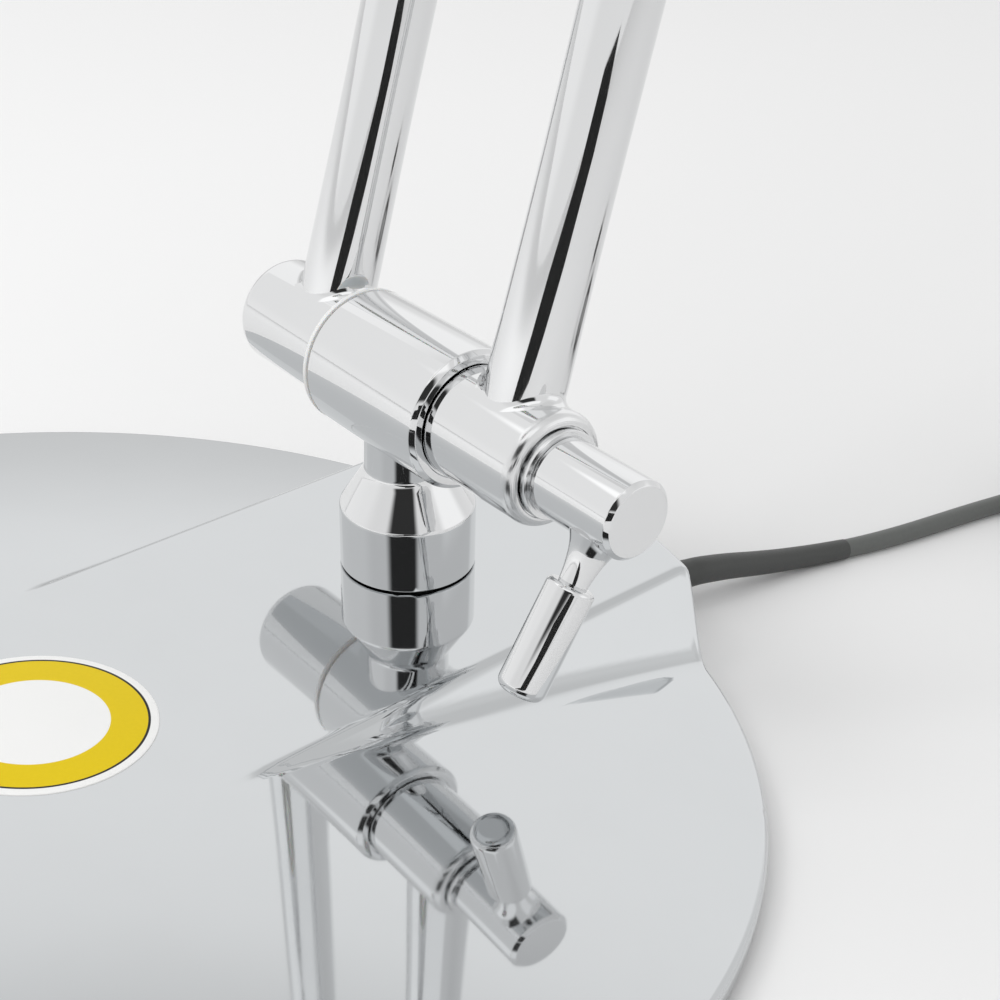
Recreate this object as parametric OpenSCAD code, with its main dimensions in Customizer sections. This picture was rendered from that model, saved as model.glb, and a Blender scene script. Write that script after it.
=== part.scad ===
// Chromed twin-arm desk lamp: a round base with a raised strip, a swivelling post, two friction
// joints with clamp levers, and a tilting bell shade. Millimetres, +Z up, the front of the base at -Y.
// The origin is the centre of the base's underside, on the table.

/* [Base] */
// Outer diameter of the base
base_d = 223; // [200:1:250]
// Height of the rim's upper edge above the table
rim_h = 5; // [4.5:0.1:8]
// Height of the crown's flat top above the rim
crown_rise = 5.5; // [4:0.1:7]
// Radius of the crown's flat top, which carries the label
crown_flat_r = 27; // [26:0.5:34]
// Thickness of the pressed cover
cover_t = 1.2; // [0.8:0.1:1.6]
// Thickness of the steel plate that closes the base
plate_t = 1; // [0.8:0.1:1.2]
// Thickness of the felt pad under the base
pad_t = 1.5; // [1.4:0.1:2]
// Diameter of the round label on the crown
label_d = 38; // [20:0.5:38.5]
// Shift of the label to the lever side
label_x = 3.2; // [-4:0.2:5]
// Gap between the label and the strip's front edge
label_gap = 1.8; // [0.6:0.1:6]
// Thickness of the label
label_t = 0.3; // [0.2:0.1:0.6]
// Diameter of the three screws that hold the plate
base_screw_d = 4; // [3:0.5:5]

/* [Raised strip] */
// Half width of the strip's flat top
strip_half_w = 33.5; // [28:0.5:40]
// Height of the strip above the rim, where the post stands on it
strip_rise = 10.7; // [9.5:0.1:13]
// How much the strip rises to the back, in degrees
strip_tilt = 5.4; // [4:0.1:6.5]
// How far each side wall spreads outwards for each millimetre down
strip_spread = 0.6; // [0.3:0.05:0.9]
// Distance of the post's axis in from the base's back edge
post_back = 42.5; // [36:0.5:50]

/* [Post] */
// Turn of the post on the base, in degrees, as it stands in the photograph
post_turn = -2.4; // [-10:0.1:10]
// Diameter of the post's foot
post_d = 24; // [20:0.5:28]
// Height of the foot's straight part
post_foot_h = 11.8; // [10:0.1:14]
// Height at which the cone ends in the neck
post_cone_top = 18.3; // [17:0.1:20]
// Diameter of the neck
neck_d = 15; // [13:0.5:17]
// Height of the shoulder joint's axis above the strip
shoulder_h = 34.9; // [33:0.1:40]
// Diameter of the shoulder barrel
barrel_d = 24.5; // [22:0.5:27]
// Length of each barrel
barrel_len = 30; // [28:0.5:40]
// Shift of the shoulder barrel to the lever side of the post's axis
barrel_shift = 2.5; // [0:0.1:4]
// Diameter of the swivel stud under the post
stud_d = 10; // [8:0.5:11]
// Diameter of the lead's bore through the stud
stud_bore_d = 6.4; // [5.8:0.1:6.8]

/* [Arms] */
// Backward lean of the lower arm from the post's axis, in degrees
lower_lean = 15.5; // [5:0.5:30]
// Length of the lower arm between its joint axes
lower_len = 300; // [240:5:360]
// Forward bend of the upper arm at the elbow, in degrees
elbow_bend = 60; // [40:1:80]
// Length of the upper arm between its joint axes
upper_len = 280; // [220:5:320]
// Diameter of the lower tubes
lower_tube_d = 12.5; // [10:0.5:13]
// Diameter of the upper tubes
upper_tube_d = 10; // [8:0.5:11]
// Wall of the arm tubes
tube_wall = 1; // [0.8:0.1:1.4]
// Half distance between the lower tubes' axes
lower_tube_x = 25.5; // [24.5:0.1:27]
// Shift of both lower tubes away from the lever side
lower_tube_shift = 0.3; // [0:0.1:0.6]
// Half distance between the upper tubes' axes
upper_tube_x = 8; // [7:0.1:8.5]
// Diameter of the knuckles at the lower arm's ends
knuckle_d = 19.5; // [18:0.5:22]
// Length of a knuckle
knuckle_len = 21; // [20:0.5:24]
// How much longer the left knuckles are, for their closed ends
knuckle_cap = 3.8; // [3:0.1:6]
// Rounding of a knuckle's outer end
knuckle_round = 1.6; // [0.8:0.1:2]
// Diameter of the elbow barrel
elbow_barrel_d = 21; // [20:0.5:24]
// Diameter of the pivot bolts
bolt_d = 8; // [7:0.5:9]
// Diameter of a pivot bolt's threaded end
thread_d = 6; // [5:0.5:6.5]
// Thickness of the friction washers beside the barrels
washer_t = 0.8; // [0.5:0.1:1]
// Wall of the bushes in the barrels
bush_wall = 1.5; // [1:0.1:2]

/* [Levers] */
// Diameter of a lever's hub
hub_d = 13.2; // [12:0.2:15]
// Length of a lever's hub
hub_len = 17.5; // [15:0.5:20]
// Diameter of a lever's stem
stem_d = 4.6; // [4:0.2:5]
// Distance of the grip's upper end from the joint's axis
grip_start = 13.3; // [10:0.1:14]
// Distance of the grip's tip from the joint's axis
grip_end = 32.2; // [28:0.2:32.4]
// Diameter of the grip
grip_d = 8; // [7:0.2:9]
// Forward turn of the shoulder lever from straight down, in degrees
shoulder_lever_turn = 32.5; // [0:0.5:45]
// Backward turn of the elbow lever from the lower arm, in degrees
elbow_lever_turn = 55; // [30:1:80]

/* [Head] */
// Angle between the upper arm and the shade's axis, in degrees
head_angle = 70; // [68:1:90]
// Diameter of the head barrel
head_barrel_d = 18; // [16:0.5:20]
// Distance of the bracket's web below the tilt axis
bracket_drop = 24; // [23:0.5:28]
// Thickness of the bracket's steel strap
bracket_t = 2.5; // [2:0.1:3]
// Diameter of the cap over the lamp holder
cap_d = 52; // [50:1:56]
// Height of the cap
cap_h = 33; // [32:1:38]
// Largest diameter of the shade
shade_d = 156; // [140:2:180]
// Height of the shade below the cap
shade_h = 104; // [98:1:120]
// Thickness of the shade's and the cap's sheet
shade_t = 1; // [0.8:0.1:1.4]
// Diameter of the bulb's glass
bulb_d = 60; // [50:1:64]
// Travel of the switch button
switch_travel = 2; // [1.5:0.1:2.5]

/* [Cord] */
// Diameter of the cord
cord_d = 3.9; // [3.4:0.1:3.9]
// Turns of the coil in each of its layers
coil_turns = 2.5; // [1.5:1:3.5]
// Radius of the coil's innermost turn
coil_inner_r = 16; // [15.6:0.1:18]
// Clear gap between neighbouring turns
coil_gap = 0.5; // [0.45:0.05:0.8]

/* [Fits] */
// Radial clearance of a running fit
running_fit = 0.05; // [0.02:0.01:0.1]
// Radial clearance of a fixed seat
seat_fit = 0.02; // [0.01:0.01:0.04]
// Axial clearance beside a moving part
side_play = 0.05; // [0.02:0.01:0.1]

/* [Hidden] */

$fn = 48;
slop = 0.5;            // how far a cutting tool runs past a face
deep = 200;            // longer than any piece that it cuts

base_r = base_d / 2;
post_y = base_r - post_back;
post_z = rim_h + strip_rise;
plate_top = pad_t + plate_t;
post_r = post_d / 2;
barrel_r = barrel_d / 2;
barrel_half = barrel_len / 2;
elbow_barrel_r = elbow_barrel_d / 2;
knuckle_r = knuckle_d / 2;
bolt_r = bolt_d / 2;
thread_r = thread_d / 2;
bush_r = bolt_r + bush_wall;
knuckle_in = barrel_half + washer_t + side_play;
knuckle_out = knuckle_in + knuckle_len;
knuckle_left_out = knuckle_out + knuckle_cap;
hub_r = hub_d / 2;
hub_in = knuckle_out + washer_t + side_play;
hub_out = hub_in + hub_len;
lever_share = 0.65;    // where along the hub the stem stands
lever_x = hub_in + lever_share * hub_len;
stud_r = stud_d / 2;
nut_t = 5;
stud_up = post_foot_h - 1;
glide_t = 0.3;
bush_flange_t = 1;
spring_washer_t = 1.2;
stud_down = cover_t + bush_flange_t + spring_washer_t + nut_t + 1;

// Height of the crown above the table at a distance r from the centre
crown_k = crown_rise / (pow(base_r, 2) - pow(crown_flat_r, 2));
function crown_z(r) = rim_h + (r < crown_flat_r ? crown_rise : (pow(base_r, 2) - r * r) * crown_k);
crown_rings = 10;
crown_line = [for (i = [0:crown_rings])
    let (r = crown_flat_r + (base_r - crown_flat_r) * i / crown_rings) [r, crown_z(r)]];

// The strip's front edge, where its top runs into the crown, and the label in front of it
strip_front = post_y - (strip_rise - crown_rise) / tan(strip_tilt);
label_y = strip_front - label_gap - label_d / 2;

// Places of the screws in the base's plate
screw_head_d = base_screw_d + 3.2;
boss_d = base_screw_d + 4;
screw_places = [[0, -62], [-24, 46], [24, 46]];
screw_top = plate_top + 4;

// The cord's exit in the back wall of the strip
exit_x = 18;
exit_z = 6.1;
exit_turn = -asin(exit_x / base_r);
gland_out = 16;
gland_in = 9;
gland_r = 3;
gland_lip = 0.3;
cord_r = cord_d / 2;

// Frames that the moving bodies are built in
module at_strip() translate([0, post_y, post_z]) rotate([strip_tilt, 0, 0]) children();
module at_post() at_strip() rotate([0, 0, post_turn]) children();
module at_shoulder() at_post() translate([barrel_shift, 0, shoulder_h]) children();
module at_lower() at_shoulder() rotate([-lower_lean, 0, 0]) children();
module at_elbow() at_lower() translate([0, 0, lower_len]) children();
module at_upper() at_elbow() rotate([elbow_bend, 0, 0]) children();
module at_tilt() at_upper() translate([0, 0, upper_len]) children();
module at_head() at_tilt() rotate([-head_angle, 0, 0]) children();
module at_shoulder_lever() at_shoulder() rotate([-shoulder_lever_turn, 0, 0]) children();
module at_elbow_lever() at_elbow() rotate([elbow_lever_turn, 0, 0]) children();
module at_exit() rotate([0, 0, exit_turn]) translate([0, base_r, exit_z]) rotate([-90, 0, 0]) children();

// A turned piece along X from x0 to x1, with chamfers c0 and c1 at its ends
module rod(r, x0, x1, c0 = 0.4, c1 = 0.4)
    translate([x0, 0, 0]) rotate([0, 90, 0]) rotate_extrude()
        polygon([[0, 0], [r - c0, 0], [r, c0], [r, x1 - x0 - c1], [r - c1, x1 - x0], [0, x1 - x0]]);

// A bore of radius r along X from x0 to x1
module bore_x(r, x0, x1) translate([x0, 0, 0]) rotate([0, 90, 0]) cylinder(r = r, h = x1 - x0);

// A flat ring along X
module ring_x(r_out, r_in, x0, x1) difference() {
    rod(r_out, x0, x1, 0.1, 0.1);
    bore_x(r_in, x0 - slop, x1 + slop);
}

// A tube swept along a list of points that stay clear of the vertical
function unit(v) = v / norm(v);
function heading(p, i) = unit(p[min(i + 1, len(p) - 1)] - p[max(i - 1, 0)]);
function ring_at(c, t, r, n) = let (s = unit(cross(t, [0, 0, 1])), u = cross(s, t))
    [for (k = [0:n - 1]) c + r * (cos(360 * k / n) * s + sin(360 * k / n) * u)];
module swept(path, r, n) {
    m = len(path);
    pts = [for (i = [0:m - 1]) each ring_at(path[i], heading(path, i), r, n)];
    sides = [for (i = [0:m - 2], k = [0:n - 1]) let (a = i * n + k, b = i * n + (k + 1) % n)
        each [[a, b, b + n], [a, b + n, a + n]]];
    near = [for (k = [1:n - 2]) [0, k + 1, k]];
    last = (m - 1) * n;
    far = [for (k = [1:n - 2]) [last, last + k, last + k + 1]];
    polyhedron(pts, concat(sides, near, far));
}

// The base
strip_depth = 40;      // how far the strip's walls run down before the base's underside cuts them
strip_foot_w = strip_half_w + strip_spread * strip_depth;
above = 60;            // taller than any piece of the base
module crown_solid(inset, low) rotate_extrude($fn = 96) polygon(concat([[0, low]],
    [[base_r - inset, low]], [for (i = [crown_rings:-1:0]) [crown_line[i][0] * (1 - inset / base_r),
    crown_line[i][1] - inset]], [[0, rim_h + crown_rise - inset]]));

module strip_solid(inset, low) intersection() {
    at_strip() rotate([90, 0, 0]) translate([0, -inset, -deep]) linear_extrude(2 * deep)
        polygon([[-strip_half_w + inset, 0], [-strip_foot_w + inset, -strip_depth],
                 [strip_foot_w - inset, -strip_depth], [strip_half_w - inset, 0]]);
    translate([0, 0, low]) cylinder(r = base_r - inset, h = above, $fn = 96);
}

// The same pieces on both sides of the middle plane
module both_sides() {
    children();
    mirror([1, 0, 0]) children();
}

module screw_spots() for (p = screw_places) translate([p[0], p[1], 0]) children();

module base_cover() color([0.86, 0.87, 0.88]) difference() {
    union() {
        difference() {
            union() {
                crown_solid(0, pad_t);
                strip_solid(0, pad_t);
            }
            crown_solid(cover_t, pad_t - slop);
            strip_solid(cover_t, pad_t - slop);
        }
        intersection() {
            screw_spots() translate([0, 0, plate_top]) cylinder(d = boss_d, h = above);
            union() {
                crown_solid(cover_t / 2, pad_t);
                strip_solid(cover_t / 2, pad_t);
            }
        }
    }
    at_strip() translate([0, 0, -cover_t - slop]) cylinder(r = stud_r + 2, h = cover_t + 2 * slop);
    at_exit() translate([0, 0, -gland_in]) cylinder(r = gland_r + seat_fit, h = gland_in + gland_out);
    screw_spots() translate([0, 0, plate_top - slop])
        cylinder(r = base_screw_d / 2 + seat_fit, h = screw_top - plate_top + slop + 0.2);
}

module base_weight() color([0.22, 0.22, 0.23]) difference() {
    intersection() {
        crown_solid(cover_t + 0.3, plate_top);
        cylinder(r = base_r - cover_t - 4, h = above, $fn = 96);
    }
    screw_spots() cylinder(r = boss_d / 2 + 0.4, h = above);
    translate([-stud_r - 11, post_y - 20, 0]) cube([2 * stud_r + 30, base_r, above]);
}

module bottom_plate() color([0.45, 0.46, 0.47]) difference() {
    translate([0, 0, pad_t]) cylinder(r = base_r - cover_t - 0.3, h = plate_t, $fn = 96);
    screw_spots() translate([0, 0, pad_t - slop])
        cylinder(r = base_screw_d / 2 + 0.2, h = plate_t + 2 * slop);
}

module foot_pad() color([0.12, 0.12, 0.13]) difference() {
    cylinder(r = base_r - cover_t - 2, h = pad_t, $fn = 96);
    screw_spots() translate([0, 0, -slop]) cylinder(r = screw_head_d / 2 + 0.8, h = pad_t + 2 * slop);
}

module base_screws() color([0.75, 0.75, 0.76]) screw_spots() difference() {
    union() {
        translate([0, 0, 0.2]) cylinder(d = screw_head_d, h = pad_t - 0.2);
        translate([0, 0, pad_t - 0.1]) cylinder(d = base_screw_d, h = screw_top - pad_t + 0.1);
    }
    translate([-screw_head_d, -0.4, 0]) cube([2 * screw_head_d, 0.8, 0.6]);
}

module swivel_bush() color([0.8, 0.66, 0.36]) at_strip() difference() {
    union() {
        translate([0, 0, -cover_t]) cylinder(r = stud_r + 2 - seat_fit, h = cover_t);
        translate([0, 0, -cover_t - bush_flange_t]) cylinder(r = stud_r + 5, h = bush_flange_t);
    }
    translate([0, 0, -cover_t - 2]) cylinder(r = stud_r + running_fit, h = cover_t + 4);
}

module swivel_glide() color([0.1, 0.1, 0.1]) at_strip() difference() {
    cylinder(r = post_r - 1.5, h = glide_t);
    translate([0, 0, -slop]) cylinder(r = stud_r + 0.3, h = glide_t + 2 * slop);
}

// The label is a film that follows the crown
module plain_label() color([0.95, 0.82, 0.1]) difference() {
    intersection() {
        crown_solid(-label_t, pad_t);
        translate([label_x, label_y, 0]) cylinder(d = label_d, h = above);
    }
    crown_solid(0, pad_t - slop);
}

module cord_gland() color([0.16, 0.16, 0.16]) at_exit() difference() {
    rotate_extrude() polygon([[0, -gland_in], [gland_r + gland_lip, -gland_in],
        [gland_r + gland_lip, -cover_t - 0.25], [gland_r, -cover_t - 0.25], [gland_r, 0.2],
        [gland_r + 0.4, 0.2], [gland_r + 0.4, 0.8],
        [gland_r - 0.1, 1], [cord_r + 0.55, gland_out], [0, gland_out]]);
    translate([0, 0, -gland_in - slop]) cylinder(r = cord_r + seat_fit, h = gland_in + slop);
}

lead_len = 5;
block_len = 18;
block_w = 14;
module inner_lead() color([0.3, 0.31, 0.3]) at_exit()
    translate([0, 0, -gland_in - lead_len]) cylinder(r = cord_r, h = gland_in + lead_len);

module terminal_block() color([0.9, 0.9, 0.86]) at_exit() difference() {
    translate([-block_w / 2, -4, -gland_in - lead_len - block_len])
        cube([block_w, 4 + exit_z - plate_top, block_len]);
    for (x = [-3.2, 3.2]) translate([x, 0, -gland_in - lead_len - block_len / 2]) rotate([90, 0, 0])
        cylinder(r = 1.5, h = 10);
}

// The post and its swivel
module post() color([0.86, 0.87, 0.88]) at_post() difference() {
    union() {
        rotate_extrude() polygon([[0, glide_t], [post_r - 0.2, glide_t], [post_r, glide_t + 0.2],
            [post_r, post_foot_h], [neck_d / 2 + 0.4, post_cone_top], [neck_d / 2, post_cone_top + 0.6],
            [neck_d / 2, shoulder_h], [0, shoulder_h]]);
        translate([barrel_shift, 0, shoulder_h]) rod(barrel_r, -barrel_half, barrel_half, 0.3, 0.9);
    }
    translate([barrel_shift, 0, shoulder_h]) bore_x(bush_r, -barrel_half - slop, barrel_half + slop);
    translate([0, 0, -slop]) cylinder(r = stud_r + seat_fit, h = stud_up + slop + 0.1);
}

module swivel_stud() color([0.72, 0.72, 0.7]) at_post() difference() {
    translate([0, 0, -stud_down]) cylinder(r = stud_r, h = stud_down + stud_up);
    translate([0, 0, -stud_down - slop]) cylinder(d = stud_bore_d, h = stud_down + stud_up + 2 * slop);
}

module swivel_washer() color([0.7, 0.7, 0.7]) at_post() difference() {
    translate([0, 0, -cover_t - bush_flange_t - spring_washer_t])
        cylinder(r = stud_r + 4, h = spring_washer_t);
    translate([0, 0, -20]) cylinder(r = stud_r + seat_fit, h = 20);
}

module swivel_nut() color([0.7, 0.7, 0.7]) at_post() difference() {
    translate([0, 0, -cover_t - bush_flange_t - spring_washer_t - nut_t])
        cylinder(r = stud_r * 1.9, h = nut_t, $fn = 6);
    translate([0, 0, -30]) cylinder(r = stud_r + seat_fit, h = 30);
}

bush_len = 9;
module bush_pair() both_sides() difference() {
    rod(bush_r - seat_fit, barrel_half - bush_len, barrel_half, 0.3, 0.1);
    bore_x(bolt_r + running_fit, barrel_half - bush_len - slop, barrel_half + slop);
}

module shoulder_bushes() color([0.82, 0.7, 0.42]) at_shoulder() bush_pair();

module shoulder_washer_left() color([0.97, 0.97, 0.96]) at_shoulder()
    ring_x(barrel_r, bolt_r + running_fit, -barrel_half - washer_t, -barrel_half);

module shoulder_washer_right() color([0.1, 0.1, 0.1]) at_shoulder()
    ring_x(knuckle_r - 0.5, bolt_r + running_fit, barrel_half, barrel_half + washer_t);

// The lower arm
function tube_x(side) = side * lower_tube_x - lower_tube_shift;
module knuckle(side, tube_turn) difference() {
    union() {
        rod(knuckle_r, side > 0 ? knuckle_in : -knuckle_left_out, side > 0 ? knuckle_out : -knuckle_in,
            side > 0 ? 0.4 : knuckle_round, side > 0 ? knuckle_round : 0.4);
        translate([tube_x(side), 0, 0]) rotate([tube_turn, 0, 0]) weld_collar();
    }
    if (side > 0) bore_x(bolt_r + seat_fit, knuckle_in - slop, knuckle_out + slop);
    else bore_x(bolt_r + seat_fit, -knuckle_left_out + 3, -knuckle_in + slop);
    translate([tube_x(side), 0, 0]) rotate([tube_turn, 0, 0])
        translate([0, 0, tube_floor]) cylinder(r = lower_tube_d / 2 + seat_fit, h = 40);
}

module weld_collar() rotate_extrude() polygon([[0, knuckle_r * 0.6],
    [lower_tube_d / 2 + 1, knuckle_r * 0.6], [lower_tube_d / 2 + 0.35, knuckle_r + 0.3],
    [lower_tube_d / 2 + 0.1, knuckle_r + 1.2], [0, knuckle_r + 1.2]]);

tube_floor = bolt_r + 1.5;
module shoulder_knuckle_left() color([0.86, 0.87, 0.88]) at_lower() knuckle(-1, 0);
module shoulder_knuckle_right() color([0.86, 0.87, 0.88]) at_lower() knuckle(1, 0);
module elbow_knuckle_left() color([0.86, 0.87, 0.88]) at_elbow() knuckle(-1, 180);
module elbow_knuckle_right() color([0.86, 0.87, 0.88]) at_elbow() knuckle(1, 180);

module tube(d, z0, z1) difference() {
    translate([0, 0, z0]) cylinder(d = d, h = z1 - z0);
    translate([0, 0, z0 - slop]) cylinder(d = d - 2 * tube_wall, h = z1 - z0 + 2 * slop);
}

module lower_tube(side) at_lower() translate([tube_x(side), 0, 0])
    tube(lower_tube_d, tube_floor + side_play, lower_len - tube_floor - side_play);
module lower_tube_left() color([0.88, 0.89, 0.9]) lower_tube(-1);
module lower_tube_right() color([0.88, 0.89, 0.9]) lower_tube(1);

module pivot_bolt() union() {
    rod(bolt_r, -knuckle_left_out + 3.1, knuckle_out - 0.2, 0.4, 0.4);
    rod(thread_r, knuckle_out - 1, hub_out - thread_end, 0.1, 0.5);
}
module shoulder_bolt() color([0.7, 0.7, 0.7]) at_lower() pivot_bolt();
module elbow_bolt() color([0.7, 0.7, 0.7]) at_elbow() pivot_bolt();

module end_washer() ring_x(knuckle_r - knuckle_round - 0.5, thread_r + running_fit, knuckle_out,
    knuckle_out + washer_t);
module end_washers() color([0.9, 0.9, 0.9]) {
    at_lower() end_washer();
    at_elbow() end_washer();
}

// A clamp lever: its hub on the bolt's thread, its stem and its grip
stem_in = 9;           // how far the stem reaches into the grip
stem_floor = 0.6;      // metal left between the stem's hole and the thread
thread_end = 5;        // how far the thread ends before the hub's outer face
module lever_hub() difference() {
    rod(hub_r, hub_in, hub_out, 0.4, 0.75);
    bore_x(thread_r + running_fit, hub_in - slop, hub_out - thread_end + 1);
    translate([lever_x, 0, -deep]) cylinder(d = stem_d + 2 * seat_fit, h = deep - thread_r - stem_floor);
}
module lever_stem() translate([lever_x, 0, -grip_start - stem_in])
    cylinder(d = stem_d, h = grip_start + stem_in - thread_r - stem_floor - side_play);
module lever_grip() translate([lever_x, 0, 0]) difference() {
    rotate([0, 180, 0]) rotate_extrude() polygon([[0, grip_start], [grip_d / 2 - 0.7, grip_start],
        [grip_d / 2, grip_start + 0.5], [grip_d / 2, grip_end - 0.6], [grip_d / 2 - 0.6, grip_end],
        [0, grip_end]]);
    translate([0, 0, -grip_start - stem_in - side_play])
        cylinder(d = stem_d + 2 * seat_fit, h = stem_in + side_play + slop);
}
module shoulder_lever_hub() color([0.88, 0.89, 0.9]) at_shoulder_lever() lever_hub();
module shoulder_lever_stem() color([0.88, 0.89, 0.9]) at_shoulder_lever() lever_stem();
module shoulder_lever_grip() color([0.88, 0.89, 0.9]) at_shoulder_lever() lever_grip();
module elbow_lever_hub() color([0.88, 0.89, 0.9]) at_elbow_lever() lever_hub();
module elbow_lever_stem() color([0.88, 0.89, 0.9]) at_elbow_lever() lever_stem();
module elbow_lever_grip() color([0.88, 0.89, 0.9]) at_elbow_lever() lever_grip();

// The upper arm
module elbow_barrel() color([0.86, 0.87, 0.88]) at_upper() difference() {
    rod(elbow_barrel_r, -barrel_half, barrel_half, 0.6, 0.6);
    bore_x(bush_r, -barrel_half - slop, barrel_half + slop);
    for (s = [-1, 1]) translate([s * upper_tube_x, 0, bush_r + 1])
        cylinder(d = upper_tube_d + 2 * seat_fit, h = 40);
}
module elbow_bushes() color([0.82, 0.7, 0.42]) at_upper() bush_pair();
module elbow_washers() color([0.97, 0.97, 0.96]) at_upper() both_sides()
    ring_x(elbow_barrel_r - 0.3, bolt_r + running_fit, barrel_half, barrel_half + washer_t);

head_bolt_r = 3;
head_floor = head_bolt_r + 2;
module upper_tube(side) at_upper() translate([side * upper_tube_x, 0, 0])
    tube(upper_tube_d, bush_r + 1 + side_play, upper_len - head_floor - side_play);
module upper_tube_left() color([0.88, 0.89, 0.9]) upper_tube(-1);
module upper_tube_right() color([0.88, 0.89, 0.9]) upper_tube(1);

module head_barrel() color([0.86, 0.87, 0.88]) at_tilt() difference() {
    rod(head_barrel_d / 2, -barrel_half, barrel_half, 0.6, 0.6);
    bore_x(head_bolt_r + running_fit, -barrel_half - slop, barrel_half + slop);
    for (s = [-1, 1]) translate([s * upper_tube_x, 0, -head_floor - 40])
        cylinder(d = upper_tube_d + 2 * seat_fit, h = 40);
}

// The head, built hanging down from the tilt axis
cheek_in = barrel_half + washer_t + side_play;
cheek_out = cheek_in + bracket_t;
cheek_w = head_barrel_d;
web_low = -bracket_drop - bracket_t;
nipple_r = 5;
module head_bracket() color([0.86, 0.87, 0.88]) at_head() difference() {
    union() {
        both_sides() {
            translate([cheek_in, -cheek_w / 2, web_low]) cube([bracket_t, cheek_w, -web_low]);
            bore_x(cheek_w / 2, cheek_in, cheek_out);
        }
        translate([-cheek_out, -cheek_w / 2, web_low]) cube([2 * cheek_out, cheek_w, bracket_t]);
    }
    bore_x(head_bolt_r + seat_fit, -cheek_out - slop, cheek_out + slop);
    translate([0, 0, web_low - slop]) cylinder(r = nipple_r + seat_fit, h = bracket_t + 2 * slop);
}

module tilt_bolt() color([0.75, 0.75, 0.75]) at_head() union() {
    rod(head_bolt_r, -cheek_out, cheek_out + 8, 0.1, 0.4);
    rod(6, -cheek_out - 3.5, -cheek_out, 1.2, 0.1);
}
module tilt_nut() color([0.86, 0.87, 0.88]) at_head() difference() {
    rod(7, cheek_out, cheek_out + 9.5, 0.3, 1.4);
    bore_x(head_bolt_r + seat_fit, cheek_out - slop, cheek_out + 8.2);
}
module tilt_washers() color([0.97, 0.97, 0.96]) at_head() both_sides()
    ring_x(head_barrel_d / 2 - 0.5, head_bolt_r + seat_fit, cheek_in - washer_t, cheek_in);

holder_top = web_low - 17;
nipple_top = web_low + bracket_t + 4.5;
nipple_in = 8;
nipple_wall = 1.5;
module head_nipple() color([0.72, 0.72, 0.7]) at_head() difference() {
    translate([0, 0, holder_top - nipple_in])
        cylinder(r = nipple_r, h = nipple_top - holder_top + nipple_in);
    translate([0, 0, holder_top - nipple_in - slop])
        cylinder(r = nipple_r - nipple_wall, h = nipple_top - holder_top + nipple_in + 2 * slop);
}
module nipple_nut() color([0.72, 0.72, 0.7]) at_head() difference() {
    translate([0, 0, web_low + bracket_t]) cylinder(r = 8.5, h = 3.5, $fn = 6);
    translate([0, 0, web_low]) cylinder(r = nipple_r + seat_fit, h = 10);
}

cap_r = cap_d / 2;
cap_low = web_low - cap_h;
switch_y = -12.5;
switch_r = 4.5;
button_r = 2.8;
button_in = 9;
button_out = 3.2;
switch_len = 13;
vent_w = 2.4;
vent_h = 13;
module shade_cap() color([0.86, 0.87, 0.88]) at_head() difference() {
    rotate_extrude() polygon([[0, web_low], [cap_r - 8, web_low], [cap_r - 2.5, web_low - 3],
        [cap_r, web_low - 8.5], [cap_r, cap_low], [0, cap_low]]);
    rotate_extrude() polygon([[0, web_low - shade_t], [cap_r - 8.4, web_low - shade_t],
        [cap_r - 3.4, web_low - 3.7], [cap_r - shade_t, web_low - 8.7], [cap_r - shade_t, cap_low - 1],
        [0, cap_low - 1]]);
    translate([0, 0, web_low - 10]) cylinder(r = nipple_r + seat_fit, h = 20);
    translate([0, switch_y, web_low - 10]) cylinder(r = button_r + running_fit, h = 20);
    for (a = [0:30:330]) rotate([0, 0, a + 15])
        translate([cap_r - 4, -vent_w / 2, web_low - 26]) cube([8, vent_w, vent_h]);
}

// The shade's line: a quarter of an ellipse from the cap's foot to the mouth, with a short skirt
shade_top_r = cap_r - shade_t - 0.3;
shade_r = shade_d / 2;
skirt_h = 8;
shade_steps = 12;
function shade_pt(i, off) = let (a = 90 * i / shade_steps)
    [shade_top_r + (shade_r - off - shade_top_r) * sin(a),
     cap_low - off - (shade_h - skirt_h - off) * (1 - cos(a))];
module shade() color([0.86, 0.87, 0.88]) at_head() {
    rotate_extrude($fn = 96) polygon(concat(
        [[shade_top_r - 2, cap_low]], [for (i = [0:shade_steps]) shade_pt(i, 0)],
        [[shade_r, cap_low - shade_h + 2], [shade_r + 1, cap_low - shade_h + 1.5],
         [shade_r + 1, cap_low - shade_h], [shade_r - shade_t, cap_low - shade_h]],
        [for (i = [shade_steps:-1:0]) shade_pt(i, shade_t)], [[shade_top_r - 2, cap_low - shade_t]]));
}

flange_top = cap_low - shade_t - seat_fit;
flange_r = shade_top_r - 0.4;
holder_r = 16.5;
holder_len = 36;
holder_low = holder_top - holder_len;
holder_cone = 9;
bulb_cap_r = 13.2;
bulb_cap_len = 22;
bulb_cap_out = 3;
tip_cone = 3;
tip_h = 0.9;
bulb_cap_low = holder_low - bulb_cap_out;
bulb_cap_top = bulb_cap_low + bulb_cap_len + tip_cone + tip_h + 0.1;
module lamp_holder() color([0.12, 0.12, 0.12]) at_head() difference() {
    rotate_extrude() polygon([[0, holder_top], [9, holder_top], [holder_r - 1, holder_top - holder_cone],
        [holder_r - 1, flange_top], [flange_r, flange_top], [flange_r, flange_top - 3],
        [holder_r, flange_top - 3], [holder_r, holder_low], [0, holder_low]]);
    translate([0, 0, holder_low - slop])
        cylinder(r = bulb_cap_r + seat_fit, h = bulb_cap_top - holder_low + slop);
    translate([0, 0, holder_top - nipple_in - side_play]) cylinder(r = nipple_r + seat_fit, h = 20);
}

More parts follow.
